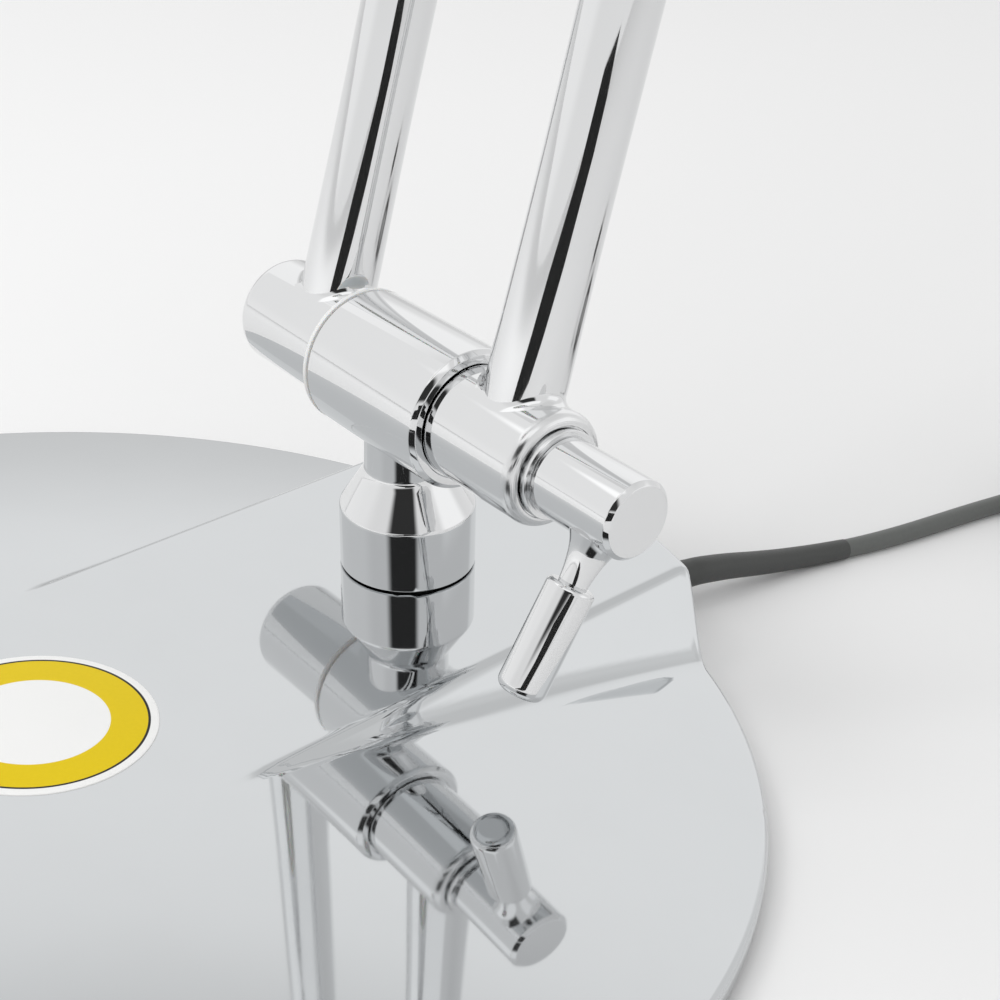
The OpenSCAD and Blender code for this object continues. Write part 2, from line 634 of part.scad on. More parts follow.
module bulb_base() color([0.75, 0.74, 0.7]) at_head() union() {
    translate([0, 0, bulb_cap_low]) cylinder(r = bulb_cap_r, h = bulb_cap_len);
    translate([0, 0, bulb_cap_low + bulb_cap_len]) cylinder(r1 = bulb_cap_r - 1.5, r2 = 5, h = tip_cone);
    translate([0, 0, bulb_cap_low + bulb_cap_len + tip_cone]) cylinder(r = 4.5, h = tip_h);
}

bulb_r = bulb_d / 2;
bulb_drop = 38;
module bulb_glass() color([0.96, 0.96, 0.93]) at_head() difference() {
    union() {
        translate([0, 0, bulb_cap_low - bulb_drop]) sphere(r = bulb_r);
        translate([0, 0, bulb_cap_low - bulb_drop + bulb_r * 0.6])
            cylinder(r1 = bulb_r * 0.8, r2 = bulb_cap_r - 0.2, h = bulb_drop - bulb_r * 0.6);
    }
    translate([0, 0, bulb_cap_low - bulb_drop]) sphere(r = bulb_r - 0.8);
    translate([0, 0, bulb_cap_low - bulb_drop + bulb_r * 0.5])
        cylinder(r1 = bulb_r * 0.8 - 1.2, r2 = bulb_cap_r - 1.4, h = bulb_drop - bulb_r * 0.5 - 1);
}

module switch_body() color([0.1, 0.1, 0.1]) at_head() translate([0, switch_y, 0]) difference() {
    translate([0, 0, web_low - shade_t - switch_len]) cylinder(r = switch_r, h = switch_len);
    translate([0, 0, web_low - shade_t - button_in]) cylinder(r = button_r + running_fit, h = 20);
}
module switch_button() color([0.1, 0.1, 0.1]) at_head()
    translate([0, switch_y, web_low - shade_t - button_in + switch_travel])
        cylinder(r = button_r, h = shade_t + button_in - switch_travel + button_out);

// The cord. Its free stretches follow points chosen by hand, in the order from the gland to the plug,
// and the tail's are counted from the end of the coil.
run_pts = [[20.6, 125.9, 6.1], [21.3, 132.6, 5.3], [22.1, 139.6, 4.2], [23.1, 147.6, 3.15], [24.3, 156.4, 2.35],
    [25.7, 164.6, 2], [27.1, 173, 1.95], [28.2, 182, 1.95], [29, 191.5, 1.95], [29.8, 201.5, 1.95],
    [30.8, 211, 2], [32.1, 219.5, 2.25], [33.2, 227, 2.6], [33.8, 232.2, 2.8], [34, 236.8, 2.85]];
tail_steps = [[0, 0, 0], [0, -6, 0], [1.6, -14, -1.3], [6.2, -20.8, -4.2], [13, -25.4, -8], [21, -27, -11.4],
    [29, -25.4, -13.6], [35.8, -20.8, -14.3], [40.4, -14, -13.8], [42, -6, -12.1], [42, 2, -10.2],
    [42, 7, -9.35], [42, 11, -9.35]];

coil_pitch = cord_d + coil_gap;
coil_rise = cord_d + coil_gap + 0.1;
coil_outer_r = coil_inner_r + coil_pitch * coil_turns;
run_end = run_pts[len(run_pts) - 1];
coil_mid = [run_end[0] + coil_outer_r, run_end[1] + cord_d];
coil_low = run_end[2];
coil_dip = 1;
coil_layers = 4;
half_turn = 180;
climb_turns = 0.5;
rings_per_turn = 24;
layer_turns = coil_turns + climb_turns;
coil_rings = round((coil_layers * layer_turns - climb_turns) * rings_per_turn);

// A point of the coil after w turns: in along a layer, up in the half turn at its inner or outer side,
// out along the next, and so on
function coil_point(w) = let (
    layer = min(floor(w / layer_turns), coil_layers - 1),
    gone = w - layer * layer_turns,
    climb = max((gone - coil_turns) / climb_turns, 0),
    inward = layer % 2 == 0 ? 1 : -1,
    from_r = inward > 0 ? coil_outer_r : coil_inner_r,
    r = from_r - inward * (coil_pitch * min(gone, coil_turns) + coil_dip * sin(half_turn * climb)),
    z = coil_low + coil_rise * (layer + (1 - cos(half_turn * climb)) / 2), a = half_turn - 360 * w)
    [coil_mid[0] + r * cos(a), coil_mid[1] + r * sin(a), z];
wound = [for (i = [0:coil_rings]) coil_point(i / rings_per_turn)];
coil_pts = concat([wound[0] - [0, cord_d, 0]], wound, [wound[coil_rings] - [0, cord_d, 0]]);
coil_end = coil_pts[len(coil_pts) - 1];
tail_pts = [for (p = tail_steps) coil_end + p];
coil_self_gap = min([for (i = [0:coil_rings - 13]) min([for (j = [i + 12:coil_rings])
    norm(wound[i] - wound[j])])]) - cord_d;
echo(coil_self_gap = coil_self_gap);

module cord_run() color([0.3, 0.31, 0.3]) swept(run_pts, cord_r, 8);
module cord_coil() color([0.3, 0.31, 0.3]) swept(coil_pts, cord_r, 6);
module cord_tail() color([0.3, 0.31, 0.3]) swept(tail_pts, cord_r, 8);

// A flat strap round the coil's turns, at the side away from the lamp
tie_t = 0.75;
tie_w = 8;
tie_in = coil_inner_r + coil_pitch / 4 - cord_r - 0.9;
tie_out = coil_outer_r - coil_pitch / 4 + cord_r + 0.4;
tie_low = coil_low - cord_r - 0.1;
tie_high = coil_low + (coil_layers - 1) * coil_rise + cord_r + 0.4;
module cord_tie() color([0.15, 0.15, 0.15])
    translate([coil_mid[0] - tie_w / 2, coil_mid[1], 0]) difference() {
    translate([0, tie_in - tie_t, tie_low - tie_t])
        cube([tie_w, tie_out - tie_in + 2 * tie_t, tie_high - tie_low + 2 * tie_t]);
    translate([-slop, tie_in, tie_low]) cube([tie_w + 2 * slop, tie_out - tie_in, tie_high - tie_low]);
}

// The plug lies on its flat side past the tail's end, which comes in at the middle of its thickness
plug_w = 35;
plug_len = 28;
relief_len = 20;
pin_x = 9.5;
pin_len = 19;
tail_end = tail_pts[len(tail_pts) - 1];
plug_t = 2 * tail_end[2];
module at_plug() translate(tail_end + [0, 0.2, 0]) rotate([-90, 0, 0]) children();
module plug_relief() color([0.16, 0.16, 0.16]) at_plug() rotate_extrude()
    polygon([[0, 0], [cord_r + 0.6, 0], [cord_r + 2, relief_len], [0, relief_len]]);
module plug_body() color([0.16, 0.16, 0.16]) at_plug() translate([0, 0, relief_len])
    linear_extrude(plug_len) union() {
        square([plug_w - plug_t, plug_t], center = true);
        for (s = [-1, 1]) translate([s * (plug_w - plug_t) / 2, 0]) circle(d = plug_t);
    }
module plug_pins() color([0.8, 0.8, 0.78]) at_plug() for (x = [-pin_x, pin_x])
    translate([x, 0, relief_len + plug_len]) rotate_extrude()
        polygon([[0, 0], [2, 0], [2, pin_len - 1], [1, pin_len], [0, pin_len]]);

base_cover();
base_weight();
bottom_plate();
foot_pad();
base_screws();
swivel_bush();
swivel_glide();
plain_label();
cord_gland();
inner_lead();
terminal_block();
post();
swivel_stud();
swivel_washer();
swivel_nut();
shoulder_bushes();
shoulder_washer_left();
shoulder_washer_right();
shoulder_knuckle_left();
shoulder_knuckle_right();
lower_tube_left();
lower_tube_right();
elbow_knuckle_left();
elbow_knuckle_right();
shoulder_bolt();
elbow_bolt();
end_washers();
shoulder_lever_hub();
shoulder_lever_stem();
shoulder_lever_grip();
elbow_barrel();
elbow_bushes();
elbow_washers();
upper_tube_left();
upper_tube_right();
head_barrel();
elbow_lever_hub();
elbow_lever_stem();
elbow_lever_grip();
head_bracket();
tilt_bolt();
tilt_nut();
tilt_washers();
head_nipple();
nipple_nut();
shade_cap();
shade();
lamp_holder();
bulb_base();
bulb_glass();
switch_body();
switch_button();
cord_run();
cord_coil();
cord_tie();
cord_tail();
plug_relief();
plug_body();
plug_pins();
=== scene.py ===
# Chromed twin-arm desk lamp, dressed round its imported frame. Metres, on the frame's own axes.
import math

import bmesh
import bpy
from mathutils import Matrix, Vector


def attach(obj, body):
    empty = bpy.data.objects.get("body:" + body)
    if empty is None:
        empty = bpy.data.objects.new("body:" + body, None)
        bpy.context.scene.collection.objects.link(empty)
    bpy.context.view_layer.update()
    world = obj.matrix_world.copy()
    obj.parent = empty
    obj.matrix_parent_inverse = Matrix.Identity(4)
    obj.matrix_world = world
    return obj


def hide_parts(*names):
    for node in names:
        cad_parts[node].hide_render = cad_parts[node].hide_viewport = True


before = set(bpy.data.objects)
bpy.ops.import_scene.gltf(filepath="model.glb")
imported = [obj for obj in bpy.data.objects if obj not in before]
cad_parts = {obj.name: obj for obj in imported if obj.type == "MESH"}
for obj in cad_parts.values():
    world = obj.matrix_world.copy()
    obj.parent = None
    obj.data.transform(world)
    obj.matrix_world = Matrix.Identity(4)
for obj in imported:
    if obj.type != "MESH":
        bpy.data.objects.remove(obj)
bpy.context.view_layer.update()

bl_info = {
    "name": "Chromed Desk Lamp",
    "version": (1, 0, 0),
    "blender": (4, 5, 0),
    "location": "3D View > Sidebar > Lamp",
    "description": "Models the lamp's base, post, arms, levers, head and cord round its frame",
    "category": "Object",
}

MM = 0.001


def turn(axis, degrees):
    return Matrix.Rotation(math.radians(degrees), 4, axis)


def move(x, y, z):
    return Matrix.Translation((x * MM, y * MM, z * MM))


# The frames that the moving bodies are built in, as the solids have them
STRIP_TILT = 5.4
STRIP_Z = 15.7
POST_Y = 69
BASE_R = 111.5
RIM_H = 5.0
CROWN_FLAT_R = 27
CROWN_RISE = 5.5
LABEL_X, LABEL_Y = 3.2, -6.8
LOWER_LEN = 300
UPPER_LEN = 280
EXIT_TURN = -math.degrees(math.asin(18 / BASE_R))
AT_STRIP = move(0, POST_Y, STRIP_Z) @ turn("X", STRIP_TILT)
AT_POST = AT_STRIP @ turn("Z", -2.4)
AT_SHOULDER = AT_POST @ move(2.5, 0, 34.9)
AT_LOWER = AT_SHOULDER @ turn("X", -15.5)
AT_ELBOW = AT_LOWER @ move(0, 0, LOWER_LEN)
AT_UPPER = AT_ELBOW @ turn("X", 60)
AT_TILT = AT_UPPER @ move(0, 0, UPPER_LEN)
AT_HEAD = AT_TILT @ turn("X", -70)
AT_SHOULDER_LEVER = AT_SHOULDER @ turn("X", -32.5)
AT_ELBOW_LEVER = AT_ELBOW @ turn("X", 55)
AT_EXIT = turn("Z", EXIT_TURN) @ move(0, BASE_R, 6.1) @ turn("X", -90)
ALONG_X = turn("Y", 90)

# Lengths along the joints, in millimetres, as the solids have them
BARREL_HALF = 15.0
WASHER = 0.8
PLAY = 0.05
KNUCKLE_IN = BARREL_HALF + WASHER + PLAY
KNUCKLE_OUT = KNUCKLE_IN + 21
KNUCKLE_END = -KNUCKLE_OUT - 3.8
HUB_IN = KNUCKLE_OUT + WASHER + PLAY
HUB_LEN = 17.5
HUB_OUT = HUB_IN + HUB_LEN
LEVER_X = HUB_IN + 0.65 * HUB_LEN
LOWER_X = {-1: -25.8, 1: 25.2}
UPPER_X = 8.0


class LampSizes(bpy.types.PropertyGroup):
    strip_edge: bpy.props.FloatProperty(
        name="Strip edge", description="Softness of the raised strip's upper edges",
        default=2.4 * MM, min=0.5 * MM, max=6 * MM, unit="LENGTH")
    strip_foot: bpy.props.FloatProperty(
        name="Strip foot", description="Softness of the hollow at the foot of the strip's walls",
        default=7 * MM, min=0.5 * MM, max=12 * MM, unit="LENGTH")
    rim_round: bpy.props.FloatProperty(
        name="Rim rounding", description="Rounding of the base's outer edge",
        default=1.6 * MM, min=0.5 * MM, max=3 * MM, unit="LENGTH")
    cover_wall: bpy.props.FloatProperty(
        name="Cover wall", description="Thickness of the pressed cover",
        default=1.2 * MM, min=0.6 * MM, max=2 * MM, unit="LENGTH")
    label_diameter: bpy.props.FloatProperty(
        name="Label diameter", description="Diameter of the plain round label",
        default=38 * MM, min=10 * MM, max=50 * MM, unit="LENGTH")
    cord_diameter: bpy.props.FloatProperty(
        name="Cord diameter", description="Outer diameter of the cord",
        default=3.9 * MM, min=3 * MM, max=6 * MM, unit="LENGTH")


class LampFinishes(bpy.types.PropertyGroup):
    chrome: bpy.props.FloatVectorProperty(
        name="Chrome", description="Colour of the polished chrome",
        default=(0.765, 0.77, 0.775), size=3, min=0, max=1, subtype="COLOR")
    # Painted shade: the base's chrome is the same plating as the other chrome, with its colour set
    # darker to stand in for the darker reflections on the base
    base_chrome: bpy.props.FloatVectorProperty(
        name="Base chrome", description="Colour of the chrome on the pressed base",
        default=(0.615, 0.63, 0.64), size=3, min=0, max=1, subtype="COLOR")
    cord: bpy.props.FloatVectorProperty(
        name="Cord", description="Colour of the cord's sheath",
        default=(0.085, 0.09, 0.085), size=3, min=0, max=1, subtype="COLOR")
    label: bpy.props.FloatVectorProperty(
        name="Label", description="Colour of the label's field",
        default=(0.76, 0.56, 0.0), size=3, min=0, max=1, subtype="COLOR")
    lining: bpy.props.FloatVectorProperty(
        name="Shade lining", description="Colour of the enamel inside the shade",
        default=(0.86, 0.86, 0.84), size=3, min=0, max=1, subtype="COLOR")


class LampStudio(bpy.types.PropertyGroup):
    lens: bpy.props.FloatProperty(
        name="Lens", description="Focal length of the camera on a 36 mm sensor",
        default=66.6, min=20, max=200, subtype="DISTANCE_CAMERA")
    floor: bpy.props.FloatVectorProperty(
        name="Floor", description="Colour of the floor",
        default=(0.86, 0.86, 0.86), size=3, min=0, max=1, subtype="COLOR")
    sky: bpy.props.FloatProperty(
        name="Sky", description="Strength of the even light all round",
        default=0.80, min=0, max=5)
    key: bpy.props.FloatProperty(
        name="Soft box", description="Power of the soft box over the front, in watts",
        default=9, min=0, max=100)


class Socket:
    """One output of a shader's tree, which takes part in sums."""

    def __init__(self, net, out):
        self.net = net
        self.out = out

    def maths(self, operation, *values):
        return self.net.add("ShaderNodeMath", {"operation": operation}, *values)

    def __add__(self, other):
        return self.maths("ADD", self, other)

    def __radd__(self, other):
        return self.maths("ADD", other, self)

    def __sub__(self, other):
        return self.maths("SUBTRACT", self, other)

    def __rsub__(self, other):
        return self.maths("SUBTRACT", other, self)

    def __mul__(self, other):
        return self.maths("MULTIPLY", self, other)

    def __rmul__(self, other):
        return self.maths("MULTIPLY", other, self)

    def __pow__(self, other):
        return self.maths("POWER", self, other)

    def sine(self):
        return self.maths("SINE", self)

    def between(self, low, high):
        """0 below low, 1 above high, and smooth between them."""
        return self.net.add("ShaderNodeMapRange", {"interpolation_type": "SMOOTHSTEP"},
                            self, low, high, 0.0, 1.0)


class Net:
    """A shader tree that is built by sums."""

    def __init__(self, tree, coordinates):
        self.tree = tree
        self.tree.nodes.clear()
        place = tree.nodes.new("ShaderNodeTexCoord").outputs[coordinates]
        self.place = Socket(self, place)

    def plug(self, socket, value):
        if isinstance(value, Socket):
            self.tree.links.new(value.out, socket)
        elif socket.type == "RGBA" and len(value) == 3:
            socket.default_value = (*value, 1.0)
        else:
            socket.default_value = value

    def add(self, kind, settings, *values, out=0, **named):
        node = self.tree.nodes.new(kind)
        for key, value in settings.items():
            if key == "stops":
                ramp = node.color_ramp.elements
                while len(ramp) < len(value):
                    ramp.new(1.0)
                for stop, (at, colour) in zip(ramp, value):
                    stop.position = at
                    stop.color = (*colour, 1.0)
            else:
                setattr(node, key, value)
        for socket, value in zip(node.inputs, values):
            if value is not None:
                self.plug(socket, value)
        for key, value in named.items():
            self.plug(node.inputs[key.replace("_", " ")], value)
        return Socket(self, node.outputs[out])

    def noise(self, scale, detail=3.0, place=None):
        return self.add("ShaderNodeTexNoise", {}, Vector=place or self.place, Scale=scale,
                        Detail=detail)

    def mix(self, factor, a, b):
        node = self.tree.nodes.new("ShaderNodeMix")
        node.data_type = "RGBA"
        for socket, value in ((0, factor), (6, a), (7, b)):
            self.plug(node.inputs[socket], value)
        return Socket(self, node.outputs[2])

    def parts(self, place=None):
        node = self.tree.nodes.new("ShaderNodeSeparateXYZ")
        self.tree.links.new((place or self.place).out, node.inputs[0])
        return [Socket(self, out) for out in node.outputs]


class Finish(Net):
    """A material on one shader, on Object coordinates."""

    def __init__(self, name, colour, metallic=0.0, roughness=0.5, **more):
        self.material = bpy.data.materials.new(name)
        self.material.use_nodes = True
        super().__init__(self.material.node_tree, "Object")
        out = self.tree.nodes.new("ShaderNodeOutputMaterial")
        self.shader = self.tree.nodes.new("ShaderNodeBsdfPrincipled")
        self.tree.links.new(self.shader.outputs[0], out.inputs[0])
        self.set("Base Color", colour)
        self.set("Metallic", metallic)
        self.set("Roughness", roughness)
        for key, value in more.items():
            self.set(key.replace("_", " ").title().replace("Ior", "IOR"), value)

    def set(self, name, value):
        self.plug(self.shader.inputs[name], value)

    def bump(self, height, strength, distance):
        self.set("Normal", self.add("ShaderNodeBump", {}, Height=height, Strength=strength,
                                    Distance=distance))

    def on(self, at):
        """Object coordinates read in a frame of the lamp, in metres along its own axes."""
        back = at.inverted()
        spot = back.to_translation()
        bend = back.to_euler()
        return self.add("ShaderNodeMapping", {"vector_type": "POINT"}, self.place, spot[:], bend[:])


def sized():
    """The scene's sizes, finishes and studio settings."""
    scene = bpy.context.scene
    return scene.lamp_sizes, scene.lamp_finishes, scene.lamp_studio


FINISHES = {}


def finish(name):
    return FINISHES[name].material


def rounded(corners, steps=5):
    """A line through corners (across, along, rounding), each turned into a short curve."""
    line = []
    for i, (x, z, *soft) in enumerate(corners):
        if not soft or i in (0, len(corners) - 1):
            line.append((x, z))
            continue
        p = Vector((x, z))
        a = Vector(corners[i - 1][:2]) - p
        b = Vector(corners[i + 1][:2]) - p
        start = p + a.normalized() * min(soft[0], 0.49 * a.length)
        end = p + b.normalized() * min(soft[0], 0.49 * b.length)
        for k in range(steps + 1):
            t = k / steps
            line.append(tuple(start * (1 - t) ** 2 + p * 2 * t * (1 - t) + end * t * t))
    return line


def spun(bm, line, at, steps=96, index=0):
    """Turns a line of (radius, height) points round an axis and lays the result at a place."""
    points = [bm.verts.new((r * MM, 0, z * MM)) for r, z in line]
    edges = [bm.edges.new(pair) for pair in zip(points, points[1:])]
    old = set(bm.faces)
    bmesh.ops.spin(bm, geom=points + edges, cent=(0, 0, 0), axis=(0, 0, 1), angle=2 * math.pi,
                   steps=steps, use_merge=True)
    fresh = [f for f in bm.faces if f not in old]
    for face in fresh:
        face.material_index = index
    verts = list({v for f in fresh for v in f.verts})
    bmesh.ops.remove_doubles(bm, verts=verts, dist=1e-6)
    fresh = [f for f in bm.faces if f not in old]
    verts = list({v for f in fresh for v in f.verts})
    bmesh.ops.transform(bm, matrix=at, verts=verts)
    return fresh


def piece(name, bm, finishes, body, slot, *replaced, sharp=35, thick=None):
    """Makes a finished piece of a bmesh, which rides on a body and stands for solids."""
    bmesh.ops.remove_doubles(bm, verts=bm.verts, dist=1e-6)
    bmesh.ops.recalc_face_normals(bm, faces=bm.faces)
    mesh = bpy.data.meshes.new(name)
    bm.to_mesh(mesh)
    bm.free()
    mesh.shade_smooth()
    mesh.set_sharp_from_angle(angle=math.radians(sharp))
    for one in finishes if isinstance(finishes, (list, tuple)) else [finishes]:
        mesh.materials.append(finish(one))
    made = bpy.data.objects.new(name, mesh)
    bpy.context.scene.collection.objects.link(made)
    if thick:
        wall = made.modifiers.new("wall", "SOLIDIFY")
        wall.thickness = thick
        wall.offset = -1
    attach(made, body)
    if replaced:
        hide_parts(*replaced)
    return made


def softened(name, node, width, finish_name, body, segments=3):
    """A copy of a solid with its edges rounded."""
    bm = bmesh.new()
    bm.from_mesh(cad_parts[node].data)
    bmesh.ops.remove_doubles(bm, verts=bm.verts, dist=1e-6)
    bmesh.ops.dissolve_limit(bm, angle_limit=math.radians(1), verts=bm.verts, edges=bm.edges)
    mesh = bpy.data.meshes.new(name)
    bm.to_mesh(mesh)
    bm.free()
    mesh.shade_smooth()
    mesh.set_sharp_from_angle(angle=math.radians(35))
    mesh.materials.append(finish(finish_name))
    made = bpy.data.objects.new(name, mesh)
    bpy.context.scene.collection.objects.link(made)
    edge = made.modifiers.new("edge", "BEVEL")
    edge.width = width * MM
    edge.segments = segments
    edge.limit_method = "ANGLE"
    edge.angle_limit = math.radians(40)
    edge.harden_normals = True
    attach(made, body)
    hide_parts(node)
    return made


class Step(bpy.types.Operator):
    """One step of making the lamp"""
    bl_idname = "lamp.step"
    bl_label = "Step"
    bl_options = {"REGISTER", "UNDO"}


class LAMP_OT_camera(Step):
    """Places the camera where the photograph was taken"""
    bl_idname = "lamp.camera"
    bl_label = "Camera"

    def execute(self, context):
        studio = sized()[2]
        data = bpy.data.cameras.new("photo_camera")
        data.sensor_width = 36
        data.lens = studio.lens
        data.clip_start = 0.01
        camera = bpy.data.objects.new("photo_camera", data)
        right = Vector((0.6608, 0.7449, 0.0925)).normalized()
        ahead = Vector((-0.6415, 0.6244, -0.4456))
        ahead = (ahead - right * ahead.dot(right)).normalized()
        up = right.cross(ahead)
        look = Matrix((right, up, -ahead)).transposed().to_4x4()
        camera.matrix_world = Matrix.Translation((0.21845, -0.12231, 0.17339)) @ look
        context.scene.collection.objects.link(camera)
        context.scene.camera = camera
        return {"FINISHED"}


class LAMP_OT_finishes(Step):
    """Makes the finishes that the pieces share"""
    bl_idname = "lamp.finishes"
    bl_label = "Finishes"

    def execute(self, context):
        looks = sized()[1]

        def chrome(name, wear=0.02, wave=0.0, low=0.02, colour=looks.chrome):
            f = Finish(name, colour, metallic=1.0)
            smear = f.noise(90, 4).between(0.35, 0.75)
            fine = f.noise(900, 2)
            f.set("Roughness", low + smear * wear + fine * 0.015)
            f.set("Base Color", f.mix(smear * 0.12, colour, tuple(c * 0.93 for c in colour)))
            if wave:
                f.bump(f.noise(26, 1.0), wave, 0.0004)
            return f

        FINISHES["chrome"] = chrome("polished chrome")
        # The base's chrome is the polished chrome with a darker colour: painted shade in place of
        # darker reflections
        FINISHES["base chrome"] = chrome("base chrome", 0.015, 0.06, 0.025, looks.base_chrome)

        f = chrome("turned chrome", 0.05, 0, 0.17)
        y, z = f.parts(f.on(AT_LOWER))[1:]
        at_elbow = (y * y + (z - LOWER_LEN * MM) ** 2) ** 0.5
        across = f.place.maths("MINIMUM", (y * y + z * z) ** 0.5, at_elbow)
        rings = (across * 14000).sine() * 0.5 + (across * 31000).sine() * 0.3
        f.bump(rings, 0.25, 0.00003)
        FINISHES["turned chrome"] = f

        f = Finish("zinc plate", (0.60, 0.60, 0.59), metallic=1.0)
        f.set("Roughness", 0.22 + f.noise(300, 3) * 0.2)
        f.set("Base Color", f.mix(f.noise(120, 3), (0.66, 0.65, 0.62), (0.50, 0.50, 0.49)))
        FINISHES["zinc plate"] = f

        f = Finish("painted casting", (0.03, 0.03, 0.032))
        grain = f.noise(500, 4)
        f.set("Roughness", 0.5 + grain * 0.3)
        f.bump(grain, 0.6, 0.0003)
        FINISHES["painted casting"] = f

        f = Finish("felt", (0.03, 0.03, 0.033), sheen_weight=0.4)
        hair = f.noise(2500, 5)
        f.set("Base Color", f.mix(hair, (0.02, 0.02, 0.022), (0.07, 0.07, 0.075)))
        f.set("Roughness", 0.9 + hair * 0.1)
        f.bump(hair, 0.8, 0.0004)
        FINISHES["felt"] = f

        f = Finish("brass", (0.72, 0.52, 0.22), metallic=1.0)
        f.set("Roughness", 0.2 + f.noise(400, 3) * 0.2)
        FINISHES["brass"] = f

        f = Finish("bright nickel", (0.72, 0.70, 0.66), metallic=1.0)
        f.set("Roughness", 0.1 + f.noise(400, 3) * 0.12)
        FINISHES["bright nickel"] = f

        f = Finish("black fibre", (0.02, 0.02, 0.02))
        f.set("Roughness", 0.5 + f.noise(700, 3) * 0.3)
        FINISHES["black fibre"] = f

        f = Finish("white nylon", (0.86, 0.86, 0.85), subsurface_weight=0.15)
        f.set("Roughness", 0.3 + f.noise(500, 3) * 0.15)
        FINISHES["white nylon"] = f

        f = Finish("label film", looks.label, specular_ior_level=0.15)
        x, y = f.parts()[:2]
        away = ((x - LABEL_X * MM) ** 2 + (y - LABEL_Y * MM) ** 2) ** 0.5
        paper = f.noise(1500, 3)
        f.set("Roughness", 0.28 + paper * 0.12)
        field = f.mix(paper * 0.5, looks.label, tuple(c * 0.88 for c in looks.label))
        black, white = (0.015, 0.015, 0.015), (0.86, 0.86, 0.85)
        drawn = f.mix(away.between(0.01145, 0.01160), white, field)
        drawn = f.mix(away.between(0.01715, 0.01725), drawn, black)
        drawn = f.mix(away.between(0.01755, 0.01765), drawn, white)
        f.set("Base Color", drawn)
        FINISHES["label film"] = f

        f = Finish("cord sheath", looks.cord, sheen_weight=0.1)
        skin = f.noise(1200, 4)
        f.set("Base Color", f.mix(skin, looks.cord, tuple(c * 1.35 for c in looks.cord)))
        f.set("Roughness", 0.42 + skin * 0.2)
        f.bump(skin, 0.25, 0.0001)
        FINISHES["cord sheath"] = f

        f = Finish("plug plastic", (0.045, 0.047, 0.045))
        pit = f.noise(2200, 3)
        f.set("Roughness", 0.38 + pit * 0.2)
        f.bump(pit, 0.35, 0.00008)
        FINISHES["plug plastic"] = f

        f = Finish("woven strap", (0.02, 0.02, 0.02))
        x, y, z = f.parts()
        weave = (x * 9000).sine() * ((y + z) * 9000).sine()
        f.set("Roughness", 0.75 + weave * 0.1)
        f.bump(weave, 0.6, 0.0001)
        FINISHES["woven strap"] = f

        f = Finish("glazed ceramic", (0.82, 0.81, 0.76), coat_weight=0.5)
        f.set("Roughness", 0.2 + f.noise(300, 3) * 0.1)
        FINISHES["glazed ceramic"] = f

        f = Finish("white enamel", looks.lining, coat_weight=0.4, coat_roughness=0.08)
        peel = f.noise(420, 2)
        f.set("Roughness", 0.22 + peel * 0.1)
        f.bump(peel, 0.12, 0.0001)
        FINISHES["white enamel"] = f

        f = Finish("black bakelite", (0.014, 0.013, 0.013), coat_weight=0.3)
        f.set("Roughness", 0.2 + f.noise(600, 3) * 0.12)
        FINISHES["black bakelite"] = f

        f = Finish("opal glass", (0.9, 0.9, 0.88), coat_weight=0.6, coat_roughness=0.03,
                   subsurface_weight=0.4)
        f.set("Roughness", 0.12 + f.noise(200, 2) * 0.05)
        FINISHES["opal glass"] = f

        plain = {
            "zinc plate": ["bottom_plate", "base_screws", "swivel_stud", "swivel_washer",
                           "swivel_nut", "shoulder_bolt", "elbow_bolt", "tilt_bolt",
                           "head_nipple", "nipple_nut"],
            "painted casting": ["base_weight"],
            "felt": ["foot_pad"],
            "brass": ["swivel_bush", "shoulder_bushes", "elbow_bushes"],
            "black fibre": ["swivel_glide", "shoulder_washer_right"],
            "white nylon": ["shoulder_washer_left", "elbow_washers", "tilt_washers"],
            "cord sheath": ["inner_lead"],
            "glazed ceramic": ["terminal_block"],
            "black bakelite": ["switch_body", "switch_button", "lamp_holder"],
            "bright nickel": ["bulb_base"],
        }
        for name, nodes in plain.items():
            for node in nodes:
                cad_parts[node].data.materials.clear()
                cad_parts[node].data.materials.append(finish(name))
        return {"FINISHED"}


# The cord's route, in millimetres, as the solids have it
RUN = [(20.6, 125.9, 6.1), (21.3, 132.6, 5.3), (22.1, 139.6, 4.2), (23.1, 147.6, 3.15),
       (24.3, 156.4, 2.35), (25.7, 164.6, 2), (27.1, 173, 1.95), (28.2, 182, 1.95),
       (29, 191.5, 1.95), (29.8, 201.5, 1.95), (30.8, 211, 2), (32.1, 219.5, 2.25),
       (33.2, 227, 2.6), (33.8, 232.2, 2.8), (34, 236.8, 2.85)]
TAIL = [(0, 0, 0), (0, -6, 0), (1.6, -14, -1.3), (6.2, -20.8, -4.2), (13, -25.4, -8),
        (21, -27, -11.4), (29, -25.4, -13.6), (35.8, -20.8, -14.3), (40.4, -14, -13.8),
        (42, -6, -12.1), (42, 2, -10.2), (42, 7, -9.35), (42, 11, -9.35)]
CORD_D = 3.9
COIL_PITCH = CORD_D + 0.5
COIL_RISE = CORD_D + 0.6
COIL_TURNS = 2.5
COIL_LAYERS = 4
COIL_INNER = 16
COIL_OUTER = COIL_INNER + COIL_PITCH * COIL_TURNS
COIL_MID = (RUN[-1][0] + COIL_OUTER, RUN[-1][1] + CORD_D)
CLIMB = 0.5
COIL_STEPS = 48


def coil_point(w):
    """A point of the coil after w turns: in along a layer, up, out along the next, and so on."""
    layer = min(int(w / (COIL_TURNS + CLIMB)), COIL_LAYERS - 1)
    gone = w - layer * (COIL_TURNS + CLIMB)
    climb = max((gone - COIL_TURNS) / CLIMB, 0)
    inward = -1 if layer % 2 else 1
    r = COIL_OUTER if inward > 0 else COIL_INNER
    r -= inward * (COIL_PITCH * min(gone, COIL_TURNS) + math.sin(math.pi * climb))
    a = math.pi * (1 - 2 * w)
    z = RUN[-1][2] + COIL_RISE * (layer + (1 - math.cos(math.pi * climb)) / 2)
    return Vector((COIL_MID[0] + r * math.cos(a), COIL_MID[1] + r * math.sin(a), z))


